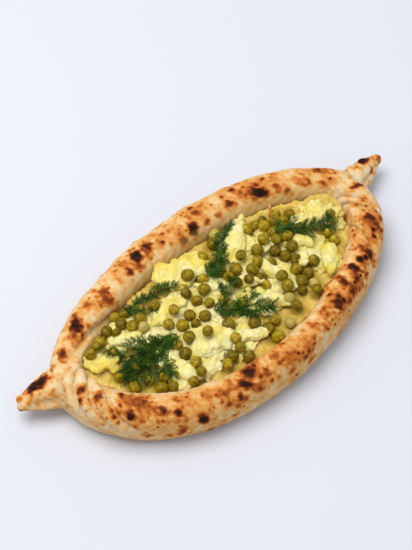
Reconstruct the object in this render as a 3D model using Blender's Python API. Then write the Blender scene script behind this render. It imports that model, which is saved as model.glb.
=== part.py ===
"""Khachapuri: an open boat-shaped bread, pinched to a horn at each end, around a filling of mash and peas.

Blender 4.5, metres, +Z up. The bread lies along X on the plane z = 0. It is modelled about the middle of
its boat shape, and then moved so that its box, horns included, is centred on the origin in plan.
The far long side faces +Y, the near long side -Y. Angles round the boat run from the right end (0) over
the far side (90) and the left end (180) to the near side (270). Angles round the rolled rim start on its
outer side (0), pass over its top (90) and come down its inner side (180).
"""

import math

import bmesh
import bpy
from mathutils import Matrix, Vector, noise
from mathutils.bvhtree import BVHTree

# Driving sizes, in metres unless the name says otherwise.
END_LINE = 0.0130  # how far the line between the two ends lies towards the far side
OUTER_HALF_LENGTH = 0.1363
OUTER_FAR = 0.0625
OUTER_NEAR = 0.0885
INNER_HALF_LENGTH = 0.1110
INNER_FAR = 0.0320
INNER_NEAR = 0.0651
END_ROUNDING = 0.25
TO_BOX_CENTRE = (-0.00225, 0.0, 0.0)  # the right horn reaches further out than the left one

RIM_HEIGHT = 0.0330
RIM_WAIST = 0.0152  # height of the rim's widest line
RIM_FULLNESS = 2.3  # 2 is an ellipse, more is boxier
FLOOR_TOP = 0.0075
UNDERSIDE_RING = 0.55
FLOOR_RINGS = (0.84, 0.45)
ROLL_STEPS = 16

# Rope folds: where each crease meets the top of the rim, in degrees past the tip of its end, and its depth.
LEFT_CREASES = ((-5.0, 0.0020), (3.0, 0.0019), (12.5, 0.0021), (21.5, 0.0027))
RIGHT_CREASES = ((-3.0, 0.0026), (13.0, 0.0020), (18.5, 0.0021), (34.0, 0.0024))
CREASE_HALF_WIDTH = 1.7  # degrees
FOLD_LEAN = 0.16  # degrees along the boat for each degree round the roll
FOLD_SWELL = 0.0009
COLUMN_STEP = 4.4  # degrees

TONGUE_START = 118.0  # the inner fold of the far rim's left end, degrees round the boat
TONGUE_STOP = 173.0
TONGUE_DEPTH = 0.0018
BLISTER = (300.0, 152.0, 0.0026, 0.0065)  # place round the boat, place round the roll, height, radius

# Horns: x of root and tip, y of the far edge at root and tip, half width at root and tip,
# half height at root and tip, taper, and how late the far edge hooks down.
LEFT_HORN = (-0.1190, -0.1605, 0.0335, 0.0255, 0.0175, 0.0028, 0.0140, 0.0030, 1.6, 5)
RIGHT_HORN = (0.1210, 0.1650, 0.0290, 0.0240, 0.0150, 0.0030, 0.0130, 0.0030, 1.3, 3)
HORN_LIFT = 0.0155
HORN_VALLEY = 0.0024

WALL_GAP = 0.0011
REST_GAP = 0.0005
FILL_EDGE = 0.0243
FILL_CROWN = 0.0008
FILL_COLUMNS = 72
FILL_RINGS = 12
LUMP = 0.0011

# Heaps of peas: x, y, half length, half width, turn in degrees.
PEA_HEAPS = (
    (0.058, 0.022, 0.026, 0.014, -42.0),
    (0.016, 0.006, 0.034, 0.012, -38.0),
    (0.052, -0.020, 0.016, 0.018, 20.0),
    (-0.022, 0.006, 0.022, 0.013, -30.0),
    (-0.078, 0.024, 0.020, 0.011, 15.0),
    (-0.084, -0.018, 0.032, 0.010, -14.0),
    (-0.052, -0.012, 0.012, 0.022, 30.0),
    (-0.016, -0.030, 0.020, 0.011, -35.0),
)
HEAP_HEIGHT = 0.0042

# Pieces of scrambled egg: x, y, length, width, thickness, turn in degrees, and waist, which is how far
# the middle is drawn in.
EGGS = (
    (-0.014, 0.0315, 0.040, 0.024, 0.0085, -6.0, 0.10),
    (0.031, 0.0270, 0.036, 0.015, 0.0080, 48.0, 0.05),
    (0.0880, 0.0040, 0.034, 0.017, 0.0080, -24.0, 0.20),
    (0.0425, 0.0105, 0.021, 0.011, 0.0070, -8.0, 0.15),
    (0.0725, -0.0255, 0.027, 0.011, 0.0080, 56.0, -0.10),
    (0.035, -0.0110, 0.034, 0.010, 0.0070, -80.0, 0.30),
    (0.019, -0.0260, 0.025, 0.010, 0.0065, -35.0, 0.10),
    (-0.041, 0.0130, 0.031, 0.013, 0.0070, 6.0, 0.20),
    (-0.076, 0.0130, 0.019, 0.011, 0.0065, -35.0, 0.10),
    (-0.034, -0.0240, 0.030, 0.025, 0.0085, -20.0, 0.15),
    (-0.009, -0.0385, 0.021, 0.010, 0.0060, -30.0, 0.15),
    (-0.062, -0.0290, 0.020, 0.014, 0.0065, -55.0, 0.10),
    (-0.099, 0.0090, 0.020, 0.015, 0.0070, -50.0, 0.10),
    (0.0640, -0.0010, 0.020, 0.009, 0.0070, -32.0, 0.10),
    (0.0585, -0.0155, 0.014, 0.007, 0.0060, 63.0, 0.10),
    (-0.0060, 0.0080, 0.022, 0.007, 0.0060, -46.0, 0.10),
    (0.0165, -0.0060, 0.020, 0.007, 0.0060, -26.0, 0.10),
)
EGG_COLUMNS = 14
EGG_ROWS = 7

# Single peas that lie apart from the heaps: x, y, diameter.
PEAS = (
    (0.0945, -0.0020, 0.0092),
    (-0.0335, -0.0205, 0.0100),
    (-0.0365, -0.0450, 0.0094),
    (-0.0550, -0.0400, 0.0092),
    (0.0290, -0.0405, 0.0092),
    (0.0480, -0.0400, 0.0096),
    (-0.0965, 0.0205, 0.0088),
)
PEA_DENT = 0.35  # share of an egg piece's thickness lost under a pea
PEA_COLUMNS = 10
PEA_ROWS = 7


def clear_scene():
    for thing in list(bpy.data.objects):
        bpy.data.objects.remove(thing, do_unlink=True)


def new_collection(name):
    made = bpy.data.collections.new(name)
    bpy.context.scene.collection.children.link(made)
    return made


def material(name, colour, roughness):
    made = bpy.data.materials.new(name)
    made.use_nodes = True
    shader = made.node_tree.nodes["Principled BSDF"]
    shader.inputs["Base Color"].default_value = (*colour, 1.0)
    shader.inputs["Roughness"].default_value = roughness
    return made


def shaped_sphere(name, columns, rows, place, look, group):
    """A UV sphere whose point in each column and row is moved to place(column, row)."""
    bm = bmesh.new()
    bmesh.ops.create_uvsphere(bm, u_segments=columns, v_segments=rows, radius=1.0)
    for vert in bm.verts:
        row = round((math.pi - math.acos(max(-1.0, min(1.0, vert.co.z)))) / math.pi * rows)
        column = round(math.atan2(vert.co.y, vert.co.x) / (2 * math.pi) * columns) % columns
        vert.co = place(column, row)
    bmesh.ops.recalc_face_normals(bm, faces=bm.faces)
    mesh = bpy.data.meshes.new(name)
    bm.to_mesh(mesh)
    bm.free()
    mesh.shade_smooth()
    made = bpy.data.objects.new(name, mesh)
    made.data.materials.append(look)
    group.objects.link(made)
    return made


def signed_power(value, exponent):
    return math.copysign(abs(value) ** exponent, value)


def smooth(value):
    value = max(0.0, min(1.0, value))
    return value * value * (3.0 - 2.0 * value)


def boat(t, half_length, far, near, far_power, near_power, far_skew, near_skew):
    """A point of a boat-shaped outline; each power is given for the left and for the right end."""
    c = math.cos(t)
    s = math.sin(t)
    right = 0.5 + 0.5 * math.tanh(2.2 * c)
    if s >= 0:
        reach = far * (1.0 + far_skew * c)
        power = far_power[0] + (far_power[1] - far_power[0]) * right
    else:
        reach = near * (1.0 + near_skew * c)
        power = near_power[0] + (near_power[1] - near_power[0]) * right
    soft = (s * s + END_ROUNDING**2) / (1.0 + END_ROUNDING**2)
    return Vector((half_length * c, END_LINE + reach * s * soft ** ((power - 1.0) / 2.0)))


def outer_edge(t):
    return boat(t, OUTER_HALF_LENGTH, OUTER_FAR, OUTER_NEAR, (1.07, 1.20), (0.98, 0.83), 0.04, -0.095)


def inner_edge(t):
    return boat(t, INNER_HALF_LENGTH, INNER_FAR, INNER_NEAR, (1.28, 1.50), (1.115, 0.99), 0.052, -0.07)


def from_tip(degrees):
    """Degrees past the nearer tip, positive on the near side, and whether that tip is the left one."""
    turned = degrees % 360.0
    if 90.0 <= turned < 270.0:
        return turned - 180.0, True
    return (-turned if turned < 90.0 else 360.0 - turned), False


def lean(degrees, roll):
    """Slides a point along the boat, so that the columns of the mesh follow the slanting rope folds."""
    past, left = from_tip(degrees)
    full = smooth((past + 40.0) / 40.0) if past < 0 else 1.0 - smooth((past - 30.0) / 55.0)
    shift = FOLD_LEAN * (90.0 - min(roll, 150.0)) * full
    return degrees + (shift if left else -shift)


def fold_height(degrees, roll):
    """How far the rope folds move the surface of the roll outwards; degrees are those before the lean."""
    past, left = from_tip(degrees)
    creases = LEFT_CREASES if left else RIGHT_CREASES
    moved = 0.0
    for place, depth in creases:
        moved -= depth * math.exp(-(abs(past - place) / CREASE_HALF_WIDTH) ** 1.2)
    if creases[0][0] < past < creases[-1][0]:
        moved += FOLD_SWELL
    stop = 150.0 if moved > 0 else 176.0
    return moved * smooth((roll + 40.0) / 45.0) * smooth((stop - roll) / 30.0)


def tongue_height(degrees, roll):
    """The crease between the far rim's outer roll and the fold that lies along its inner side."""
    along = (degrees - TONGUE_START) / (TONGUE_STOP - TONGUE_START)
    if not 0.0 < along < 1.0:
        return 0.0
    centre = 172.0 - 88.0 * along
    return -TONGUE_DEPTH * smooth(along * 3.0) * math.exp(-(((roll - centre) / 13.0) ** 2))


def blister_height(degrees, roll):
    """A bubble baked on the near rim's inner edge."""
    place, place_on_roll, height, radius = BLISTER
    past = math.hypot(math.radians(degrees - place) * 0.075, math.radians(roll - place_on_roll) * 0.014)
    return height * math.exp(-((past / radius) ** 2))


def unevenness(degrees, roll):
    t = math.radians(degrees)
    wave = 0.0005 * math.sin(5.0 * t + 1.0) + 0.0004 * math.sin(11.0 * t + 2.6)
    return wave * smooth((roll + 30.0) / 60.0) * smooth((150.0 - roll) / 40.0)


def roll_point(degrees, roll, swell=0.0):
    """A point on the rolled rim: degrees round the boat and round the roll, moved out by swell."""
    t = math.radians(degrees)
    outer = outer_edge(t)
    inner = inner_edge(t)
    middle = (outer + inner) / 2.0
    across = outer - inner
    half = across.length / 2.0
    across.normalize()
    a = math.radians(roll)
    side = half * signed_power(math.cos(a), 2.0 / RIM_FULLNESS)
    rise = (RIM_HEIGHT - RIM_WAIST) * signed_power(math.sin(a), 2.0 / RIM_FULLNESS)
    push = 1.0 + swell / math.hypot(side, rise)
    flat = middle + across * side * push
    return Vector((flat.x, flat.y, max(0.0, RIM_WAIST + rise * push)))


def lowest_roll():
    """The angle where the outer side of the roll meets the table."""
    return -math.degrees(math.asin((RIM_WAIST / (RIM_HEIGHT - RIM_WAIST)) ** (RIM_FULLNESS / 2.0)))


def floor_roll():
    """The angle where the inner side of the roll meets the floor of the boat."""
    share = (RIM_WAIST - FLOOR_TOP) / (RIM_HEIGHT - RIM_WAIST)
    return 180.0 + math.degrees(math.asin(share ** (RIM_FULLNESS / 2.0)))


def crust_columns():
    """Stations round the boat in degrees: close together at the creases, evenly spread between them."""
    fixed = []
    for tip, creases, sign in ((180.0, LEFT_CREASES, 1.0), (360.0, RIGHT_CREASES, -1.0)):
        for place, _ in creases:
            for aside in (-CREASE_HALF_WIDTH * 1.4, 0.0, CREASE_HALF_WIDTH * 1.4):
                fixed.append((tip + sign * (place + aside)) % 360.0)
    fixed.sort()
    stations = []
    for here, after in zip(fixed, fixed[1:] + [fixed[0] + 360.0]):
        steps = max(1, round((after - here) / COLUMN_STEP))
        stations += [here + (after - here) * k / steps for k in range(steps)]
    return stations


def crust_dish(look, group):
    stations = crust_columns()
    first = lowest_roll()
    last = floor_roll()
    rolls = [first + (last - first) * k / ROLL_STEPS for k in range(ROLL_STEPS + 1)]
    rows = len(rolls) + len(FLOOR_RINGS) + 2
    hub = Vector((0.0, END_LINE + (INNER_FAR - INNER_NEAR) / 2.0, 0.0))

    def place(column, row):
        station = stations[column]
        if row == 0:
            return hub
        if row == 1:
            foot = roll_point(lean(station, first), first)
            return hub.lerp(Vector((foot.x, foot.y, 0.0)), UNDERSIDE_RING)
        if row < 2 + len(rolls):
            roll = rolls[row - 2]
            there = lean(station, roll)
            swell = fold_height(station, roll) + tongue_height(there, roll)
            swell += unevenness(there, roll) + blister_height(there, roll)
            point = roll_point(there, roll, swell)
            if roll == first:
                point.z = 0.0
            return point
        middle = Vector((hub.x, hub.y, FLOOR_TOP))
        if row == rows:
            return middle
        foot = roll_point(lean(station, last), last)
        return middle.lerp(Vector((foot.x, foot.y, FLOOR_TOP)), FLOOR_RINGS[row - 2 - len(rolls)])

    return shaped_sphere("crust", len(stations), rows, place, look, group)


def horn(name, sizes, look, group):
    """A pinched end: a flattened cone with a valley on its upper face, turned to the near side."""
    root_x, tip_x, root_far, tip_far, root_half, tip_half, root_rise, tip_rise, taper, hook = sizes
    columns, rows = 16, 12

    def place(column, row):
        along = row / rows
        round_it = 2 * math.pi * column / columns
        left = 1.0 - along**taper
        half = tip_half + (root_half - tip_half) * left
        rise = tip_rise + (root_rise - tip_rise) * left
        closing = math.sqrt(max(0.0, 1.0 - (abs(2.0 * along - 1.0)) ** 9))
        facing = math.exp(-(((math.degrees(round_it) - 232.0) / 26.0) ** 2))
        dip = 1.0 - HORN_VALLEY / rise * facing * math.sin(math.pi * min(1.0, along * 1.1))
        y = root_far + (tip_far - root_far) * along**hook - half
        y += half * closing * dip * math.sin(round_it)
        z = HORN_LIFT - rise * closing * dip * math.cos(round_it)
        return Vector((root_x + (tip_x - root_x) * along, y, z))

    return shaped_sphere(name, columns, rows, place, look, group)


def boolean(target, cutter, operation):
    step = target.modifiers.new("join", "BOOLEAN")
    step.operation = operation
    step.solver = "EXACT"
    step.object = cutter
    cutter.hide_render = True
    cutter.display_type = "WIRE"


def heap_rise(x, y):
    """How high the heaps of peas stand over the mash at one place."""
    rise = 0.0
    for cx, cy, long_half, short_half, turn in PEA_HEAPS:
        a = math.radians(turn)
        u = ((x - cx) * math.cos(a) + (y - cy) * math.sin(a)) / long_half
        v = (-(x - cx) * math.sin(a) + (y - cy) * math.cos(a)) / short_half
        rise = max(rise, 1.0 - smooth((math.hypot(u, v) - 0.6) / 0.8))
    for cx, cy, length, width, _, turn, _ in EGGS:
        a = math.radians(turn)
        u = ((x - cx) * math.cos(a) + (y - cy) * math.sin(a)) / (length / 2.0)
        v = (-(x - cx) * math.sin(a) + (y - cy) * math.cos(a)) / (width / 2.0)
        rise = min(rise, smooth((math.hypot(u, v) - 1.0) / 0.5))
    return rise * HEAP_HEIGHT


def filling(look, group):
    """Mash and heaped peas as one solid, from just over the floor of the boat to their uneven outline."""
    rows = FILL_RINGS + 5
    hub = Vector((0.0, END_LINE + (INNER_FAR - INNER_NEAR) / 2.0, 0.0))
    floor = FLOOR_TOP + 0.0003

    def wall(column, height):
        t = 2 * math.pi * column / FILL_COLUMNS
        share = max(0.0, height - RIM_WAIST) / (RIM_HEIGHT - RIM_WAIST)
        inner = inner_edge(t)
        across = outer_edge(t) - inner
        half = across.length / 2.0
        back = half * (1.0 - (1.0 - share**RIM_FULLNESS) ** (1.0 / RIM_FULLNESS))
        roll = 180.0 - math.degrees(math.asin(share ** (RIM_FULLNESS / 2.0)))
        across.normalize()
        flat = inner + across * (back - WALL_GAP - 1.5 * blister_height(math.degrees(t) % 360.0, roll))
        return Vector((flat.x, flat.y, height))

    def place(column, row):
        if row == 0:
            return Vector((hub.x, hub.y, floor))
        if row == 1:
            return Vector((hub.x, hub.y, floor)).lerp(wall(column, floor), 0.6)
        if row <= 4:
            return wall(column, (floor, RIM_WAIST, FILL_EDGE)[row - 2])
        inward = (row - 4) / (rows - 4)
        edge = wall(column, FILL_EDGE)
        flat = edge.lerp(Vector((hub.x, hub.y, FILL_EDGE)), inward)
        near_wall = 1.0 - (1.0 - inward) ** 6
        lumps = LUMP * noise.noise(Vector((flat.x, flat.y, 0.0)) * 90.0)
        flat.z += (FILL_CROWN + heap_rise(flat.x, flat.y) + lumps) * near_wall
        return flat

    return shaped_sphere("filling", FILL_COLUMNS, rows, place, look, group)


def egg_piece(name, sizes, look, group):
    """One ragged curd of scrambled egg, flat below and lumpy above."""
    x, y, length, width, thickness, turn, waist = sizes
    a = math.radians(turn)

    def place(column, row):
        round_it = 2 * math.pi * column / EGG_COLUMNS
        up = -math.cos(math.pi * row / EGG_ROWS)
        out = math.sqrt(max(0.0, 1.0 - abs(up) ** 2.6))
        u = out * math.cos(round_it)
        v = out * math.sin(round_it)
        ragged = 1.04 + 0.34 * noise.noise(Vector((u * 1.5 + x * 900.0, v * 1.5 + y * 900.0, up * 0.4)))
        across = v * width / 2.0 * ragged * (1.0 - waist * math.cos(u * math.pi))
        along = u * length / 2.0 * ragged
        rise = thickness * (0.72 * max(up, 0.0) + 0.28 * min(up, 0.0) + 0.28)
        if up > 0:
            rise *= 0.9 + 0.22 * noise.noise(Vector((u * 2.3 + y * 700.0, v * 2.3 - x * 700.0, 3.0)))
        px = x + along * math.cos(a) - across * math.sin(a)
        py = y + along * math.sin(a) + across * math.cos(a)
        for pea_x, pea_y, diameter in PEAS:
            away = math.hypot(px - pea_x, py - pea_y) / diameter
            rise *= 1.0 - PEA_DENT * max(up, 0.0) * math.exp(-((away / 0.6) ** 2))
        return Vector((px, py, rise))

    return shaped_sphere(name, EGG_COLUMNS, EGG_ROWS, place, look, group)


def pea(name, sizes, look, group):
    x, y, diameter = sizes

    def place(column, row):
        round_it = 2 * math.pi * column / PEA_COLUMNS
        up = -math.cos(math.pi * row / PEA_ROWS)
        out = math.sin(math.pi * row / PEA_ROWS)
        half = diameter / 2.0
        side = out * half
        flat = Vector((x + side * math.cos(round_it), y + side * math.sin(round_it), 0.0))
        flat.z = half * (1.0 + up * 0.95)
        return flat

    return shaped_sphere(name, PEA_COLUMNS, PEA_ROWS, place, look, group)


def tree_of(thing):
    corners = [v.co for v in thing.data.vertices]
    return BVHTree.FromPolygons(corners, [tuple(p.vertices) for p in thing.data.polygons])


def surface_points(thing):
    """The corners of a mesh and five points along each of its edges."""
    verts = thing.data.vertices
    points = [v.co.copy() for v in verts]
    for edge in thing.data.edges:
        one, two = (verts[k].co for k in edge.vertices)
        points += [one.lerp(two, k / 6.0) for k in range(1, 6)]
    return points


def settle(thing, supports):
    """Lowers or lifts a loose piece until it rests REST_GAP above what lies under it."""
    own = tree_of(thing)
    down = Vector((0.0, 0.0, -1.0))
    least = 1.0
    for support in supports:
        below = tree_of(support)
        for point in surface_points(thing):
            hit = below.ray_cast(Vector((point.x, point.y, 1.0)), down)[0]
            if hit is not None:
                least = min(least, point.z - hit.z)
        for point in surface_points(support):
            hit = own.ray_cast(Vector((point.x, point.y, -1.0)), -down)[0]
            if hit is not None:
                least = min(least, hit.z - point.z)
    for vert in thing.data.vertices:
        vert.co.z += REST_GAP - least


def build():
    clear_scene()
    body = new_collection("khachapuri")
    cutters = new_collection("joined_into_crust")
    dough = material("baked_dough", (0.74, 0.50, 0.26), 0.62)
    mash = material("mash_and_peas", (0.52, 0.46, 0.14), 0.42)
    curd = material("scrambled_egg", (0.93, 0.80, 0.30), 0.45)
    green = material("pea_skin", (0.30, 0.30, 0.05), 0.32)

    crust = crust_dish(dough, body)
    for name, sizes in (("left_horn", LEFT_HORN), ("right_horn", RIGHT_HORN)):
        boolean(crust, horn(name, sizes, dough, cutters), "UNION")
    bed = filling(mash, body)
    eggs = [egg_piece(f"egg_{k + 1}", sizes, curd, body) for k, sizes in enumerate(EGGS)]
    for piece in eggs:
        settle(piece, [bed])
    for k, sizes in enumerate(PEAS):
        settle(pea(f"pea_{k + 1}", sizes, green, body), [bed, *eggs])
    for thing in bpy.data.objects:
        thing.data.transform(Matrix.Translation(TO_BOX_CENTRE))


build()
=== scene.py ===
# %% [markdown]
# # Khachapuri
# A khachapuri of this shape is a boat of yeast dough: the long sides are rolled up into a soft rim,
# both ends are pinched into twisted horns, and the middle holds the filling. This lesson makes the
# looks of one bread around its imported CAD model, which fixes every size and place.
# The model is loaded first; the boxes of its parts give places and sizes later on.

# %% Load the imported bread
import math

import bpy
import numpy as np
from mathutils import Euler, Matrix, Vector
from mathutils.bvhtree import BVHTree
from mathutils.kdtree import KDTree


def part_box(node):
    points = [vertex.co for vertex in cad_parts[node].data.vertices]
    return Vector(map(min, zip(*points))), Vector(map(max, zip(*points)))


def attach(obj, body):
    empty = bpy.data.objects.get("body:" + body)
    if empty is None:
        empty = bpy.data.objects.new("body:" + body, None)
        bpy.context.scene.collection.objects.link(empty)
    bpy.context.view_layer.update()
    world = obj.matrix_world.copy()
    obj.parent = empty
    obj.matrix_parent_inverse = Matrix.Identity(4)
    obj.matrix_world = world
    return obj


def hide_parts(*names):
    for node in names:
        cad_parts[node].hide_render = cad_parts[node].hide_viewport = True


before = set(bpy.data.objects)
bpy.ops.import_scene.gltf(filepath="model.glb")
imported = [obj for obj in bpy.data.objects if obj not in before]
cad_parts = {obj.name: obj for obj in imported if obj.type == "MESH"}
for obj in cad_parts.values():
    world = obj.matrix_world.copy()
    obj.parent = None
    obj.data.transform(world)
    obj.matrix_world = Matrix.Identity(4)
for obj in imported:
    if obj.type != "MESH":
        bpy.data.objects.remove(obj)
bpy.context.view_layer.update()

MM = 0.001
print("nodes:", ", ".join(sorted(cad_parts)))


# %% [markdown]
# ## Small tools
# Blender's operators act on all that is selected, so each step first picks the one object that it
# works on. Points are read and written as whole arrays, which keeps a dense mesh quick to shape.

# %% Pick, read, write and apply
def pick(piece):
    for thing in bpy.context.selected_objects:
        thing.select_set(False)
    if piece is not None:
        piece.select_set(True)
        bpy.context.view_layer.objects.active = piece
    return piece


def points_of(piece):
    points = np.empty(len(piece.data.vertices) * 3)
    piece.data.vertices.foreach_get("co", points)
    return points.reshape(-1, 3)


def normals_of(piece):
    normals = np.empty(len(piece.data.vertices) * 3, np.float32)
    piece.data.vertex_normals.foreach_get("vector", normals)
    return normals.reshape(-1, 3).astype(float)


def move_points(piece, points):
    piece.data.vertices.foreach_set("co", np.asarray(points, float).ravel())
    piece.data.update()


def apply_modifiers(piece):
    pick(piece)
    for step in list(piece.modifiers):
        bpy.ops.object.modifier_apply(modifier=step.name)


def keep_values(piece, name, values):
    """Stores one number for each point of a mesh, for its material to read."""
    kept = piece.data.attributes.new(name, "FLOAT", "POINT")
    kept.data.foreach_set("value", np.asarray(values, np.float32))


def finish_mesh(piece, look):
    """Smooth shading and a material, and a printed line on the result."""
    pick(piece)
    bpy.ops.object.shade_smooth()
    piece.data.materials.clear()
    piece.data.materials.append(look)
    triangles = sum(len(face.vertices) - 2 for face in piece.data.polygons)
    print(f"{piece.name}: {len(piece.data.vertices)} points, {triangles} triangles")


# %% [markdown]
# Dough, mash and egg are uneven at several scales at once. A sum of sine waves in random directions
# gives a smooth, repeatable unevenness that numpy works out for a whole mesh in one go.

# %% Smooth steps and random waves
def ramp(values, start, stop):
    """0 before start and 1 after stop, with a soft S between them; start may be the larger one."""
    share = np.clip((np.asarray(values, float) - start) / (stop - start), 0.0, 1.0)
    return share * share * (3.0 - 2.0 * share)


def waves(points, size, seed, octaves=2):
    """A random field of about -1 to 1 whose bumps are about size across."""
    draw = np.random.default_rng(seed)
    total = np.zeros(len(points))
    for octave in range(octaves):
        heading = draw.normal(size=(9, 3))
        heading /= np.linalg.norm(heading, axis=1)[:, None]
        angle = points @ heading.T * (math.pi / size * 2**octave) + draw.uniform(0, 2 * math.pi, 9)
        total += np.sin(angle).sum(1) / 3.6 / 1.9**octave
    return total


# %% [markdown]
# ## Camera, floor and light
# The bread lies on a plain pale floor. The camera looks down steeply over its near side with a
# longer lens, so that the two ends come out at nearly the same size. Light comes from one large soft
# panel over the far side, with a pale surround that keeps the shadows open.

# %% Camera
CAMERA_TARGET = Vector((0.00635, 0.0318, 0.0))
CAMERA_DISTANCE = 1.09
CAMERA_ELEVATION = math.radians(58.0)
CAMERA_AZIMUTH = math.radians(-39.8)
LENS_MM = 100.0

away = Vector((
    math.sin(CAMERA_AZIMUTH) * math.cos(CAMERA_ELEVATION),
    -math.cos(CAMERA_AZIMUTH) * math.cos(CAMERA_ELEVATION),
    math.sin(CAMERA_ELEVATION),
))
bpy.ops.object.camera_add(location=CAMERA_TARGET + away * CAMERA_DISTANCE)
camera = bpy.context.object
camera.name = "camera"
camera.rotation_euler = away.to_track_quat("Z", "Y").to_euler()
camera.data.lens = LENS_MM
camera.data.sensor_width = 36.0
camera.data.sensor_fit = "AUTO"
camera.data.clip_start = 0.01
bpy.context.scene.camera = camera
bpy.context.scene.view_settings.view_transform = "Standard"
print("camera at", [round(v, 3) for v in camera.location])


# %% Floor, soft panel and surround
def soft_panel(name, place, target, size, watts, colour):
    bpy.ops.object.light_add(type="AREA", location=place)
    panel = bpy.context.object
    panel.name = name
    panel.rotation_euler = (Vector(place) - Vector(target)).to_track_quat("Z", "Y").to_euler()
    panel.data.shape = "DISK"
    panel.data.size = size
    panel.data.energy = watts
    panel.data.color = colour
    return panel


bpy.ops.mesh.primitive_plane_add(size=6.0, location=(0.0, 0.0, -0.0003))
floor = bpy.context.object
floor.name = "floor"
floor_look = bpy.data.materials.new("pale_floor")
floor_look.use_nodes = True
floor_shader = floor_look.node_tree.nodes["Principled BSDF"]
floor_shader.inputs["Base Color"].default_value = (0.61, 0.625, 0.675, 1.0)
floor_shader.inputs["Roughness"].default_value = 0.8
floor_shader.inputs["Specular IOR Level"].default_value = 0.2
floor.data.materials.append(floor_look)

soft_panel("panel", (-0.24, 0.37, 1.50), (0.0, 0.0, 0.0), 1.15, 21.4, (1.0, 0.98, 0.945))
world = bpy.data.worlds.new("pale_surround")
bpy.context.scene.world = world
world.use_nodes = True
world.node_tree.nodes["Background"].inputs["Color"].default_value = (0.895, 0.935, 1.0, 1.0)
world.node_tree.nodes["Background"].inputs["Strength"].default_value = 0.69


# %% [markdown]
# ## The shape of the rim
# Seen from above, the rim lies between two boat-shaped outlines. Across it, the dough is a soft roll,
# a little boxier than an ellipse. A point on it is found from two angles: the place round the boat,
# from the right end over the far side, and the place round the roll, from its outer side over the top.
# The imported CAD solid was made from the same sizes, so this finer version fits it everywhere.

# %% Two outlines and a roll
MIDDLE_X = -2.25 * MM
END_LINE = 13.0 * MM
END_ROUNDING = 0.25
RIM_HEIGHT = 33.0 * MM
RIM_WAIST = 15.2 * MM
RIM_FULLNESS = 2.3
FLOOR_TOP = 7.5 * MM

# Half length, far and near reach, powers of the far and the near side (left end, right end), skews.
OUTER_EDGE = (136.3 * MM, 62.5 * MM, 88.5 * MM, (1.07, 1.20), (0.98, 0.83), 0.04, -0.095)
INNER_EDGE = (111.0 * MM, 32.0 * MM, 65.1 * MM, (1.28, 1.50), (1.115, 0.99), 0.052, -0.07)


def signed_power(values, exponent):
    return np.sign(values) * np.abs(values) ** exponent


def outline(t, half_length, far, near, far_powers, near_powers, far_skew, near_skew):
    c, s = np.cos(t), np.sin(t)
    right = 0.5 + 0.5 * np.tanh(2.2 * c)
    reach = np.where(s >= 0, far * (1.0 + far_skew * c), near * (1.0 + near_skew * c))
    far_power = far_powers[0] + (far_powers[1] - far_powers[0]) * right
    near_power = near_powers[0] + (near_powers[1] - near_powers[0]) * right
    power = np.where(s >= 0, far_power, near_power)
    soft = (s * s + END_ROUNDING**2) / (1.0 + END_ROUNDING**2)
    return np.stack([half_length * c + MIDDLE_X, END_LINE + reach * s * soft ** ((power - 1.0) / 2.0)], -1)


def rim_point(degrees, roll, swell=0.0):
    """Points of the rim, moved out of the roll by swell."""
    t, a = np.radians(degrees), np.radians(roll)
    outer, inner = outline(t, *OUTER_EDGE), outline(t, *INNER_EDGE)
    across = outer - inner
    half = np.linalg.norm(across, axis=-1) / 2.0
    side = half * signed_power(np.cos(a), 2.0 / RIM_FULLNESS)
    rise = (RIM_HEIGHT - RIM_WAIST) * signed_power(np.sin(a), 2.0 / RIM_FULLNESS)
    push = 1.0 + swell / np.hypot(side, rise)
    flat = (outer + inner) / 2.0 + across * (side * push / (2.0 * half))[..., None]
    return np.concatenate([flat, np.maximum(0.0, RIM_WAIST + rise * push)[..., None]], -1)


LOWEST_ROLL = -math.degrees(math.asin((RIM_WAIST / (RIM_HEIGHT - RIM_WAIST)) ** (RIM_FULLNESS / 2)))
FLOOR_ROLL = 180.0 + math.degrees(
    math.asin(((RIM_WAIST - FLOOR_TOP) / (RIM_HEIGHT - RIM_WAIST)) ** (RIM_FULLNESS / 2)))
print("the roll meets the table at", round(LOWEST_ROLL), "degrees, and the floor of the boat at",
      round(FLOOR_ROLL))


# %% [markdown]
# Near each end the baker laid the dough over itself like a rope, which leaves slanting lobes with sharp
# creases between them. A crease is a narrow valley in the roll, and a lobe swells between two of them.
# On the far side's left end a fold lies along the inside of the roll, and one bubble has baked onto the
# near side's inner edge.

# %% Rope folds, the long fold and the bubble
# Where each crease meets the top of the rim, in degrees past its end's tip towards the near side, and depth.
LEFT_CREASES = ((-5.0, 3.4 * MM), (3.0, 3.0 * MM), (12.5, 3.5 * MM), (21.5, 3.7 * MM))
RIGHT_CREASES = ((-3.0, 4.0 * MM), (13.0, 3.6 * MM), (18.5, 3.6 * MM), (34.0, 4.0 * MM))
FOLD_LEAN = 0.16
LOBE_SWELL = 2.1 * MM


def from_tip(degrees):
    """Degrees past the nearer tip, positive on the near side, and whether that tip is the left one."""
    turned = np.mod(degrees, 360.0)
    left = (turned >= 90.0) & (turned < 270.0)
    past = np.where(left, turned - 180.0, np.where(turned < 90.0, -turned, 360.0 - turned))
    return past, left


def lean(degrees, roll):
    """Where a slanting fold that crosses the rim's top at this place lies at another place round the roll."""
    past, left = from_tip(degrees)
    full = np.where(past < 0, ramp(past, -40.0, 0.0), 1.0 - ramp(past, 30.0, 85.0))
    shift = FOLD_LEAN * (90.0 - np.minimum(roll, 150.0)) * full
    return degrees + np.where(left, shift, -shift)


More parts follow.
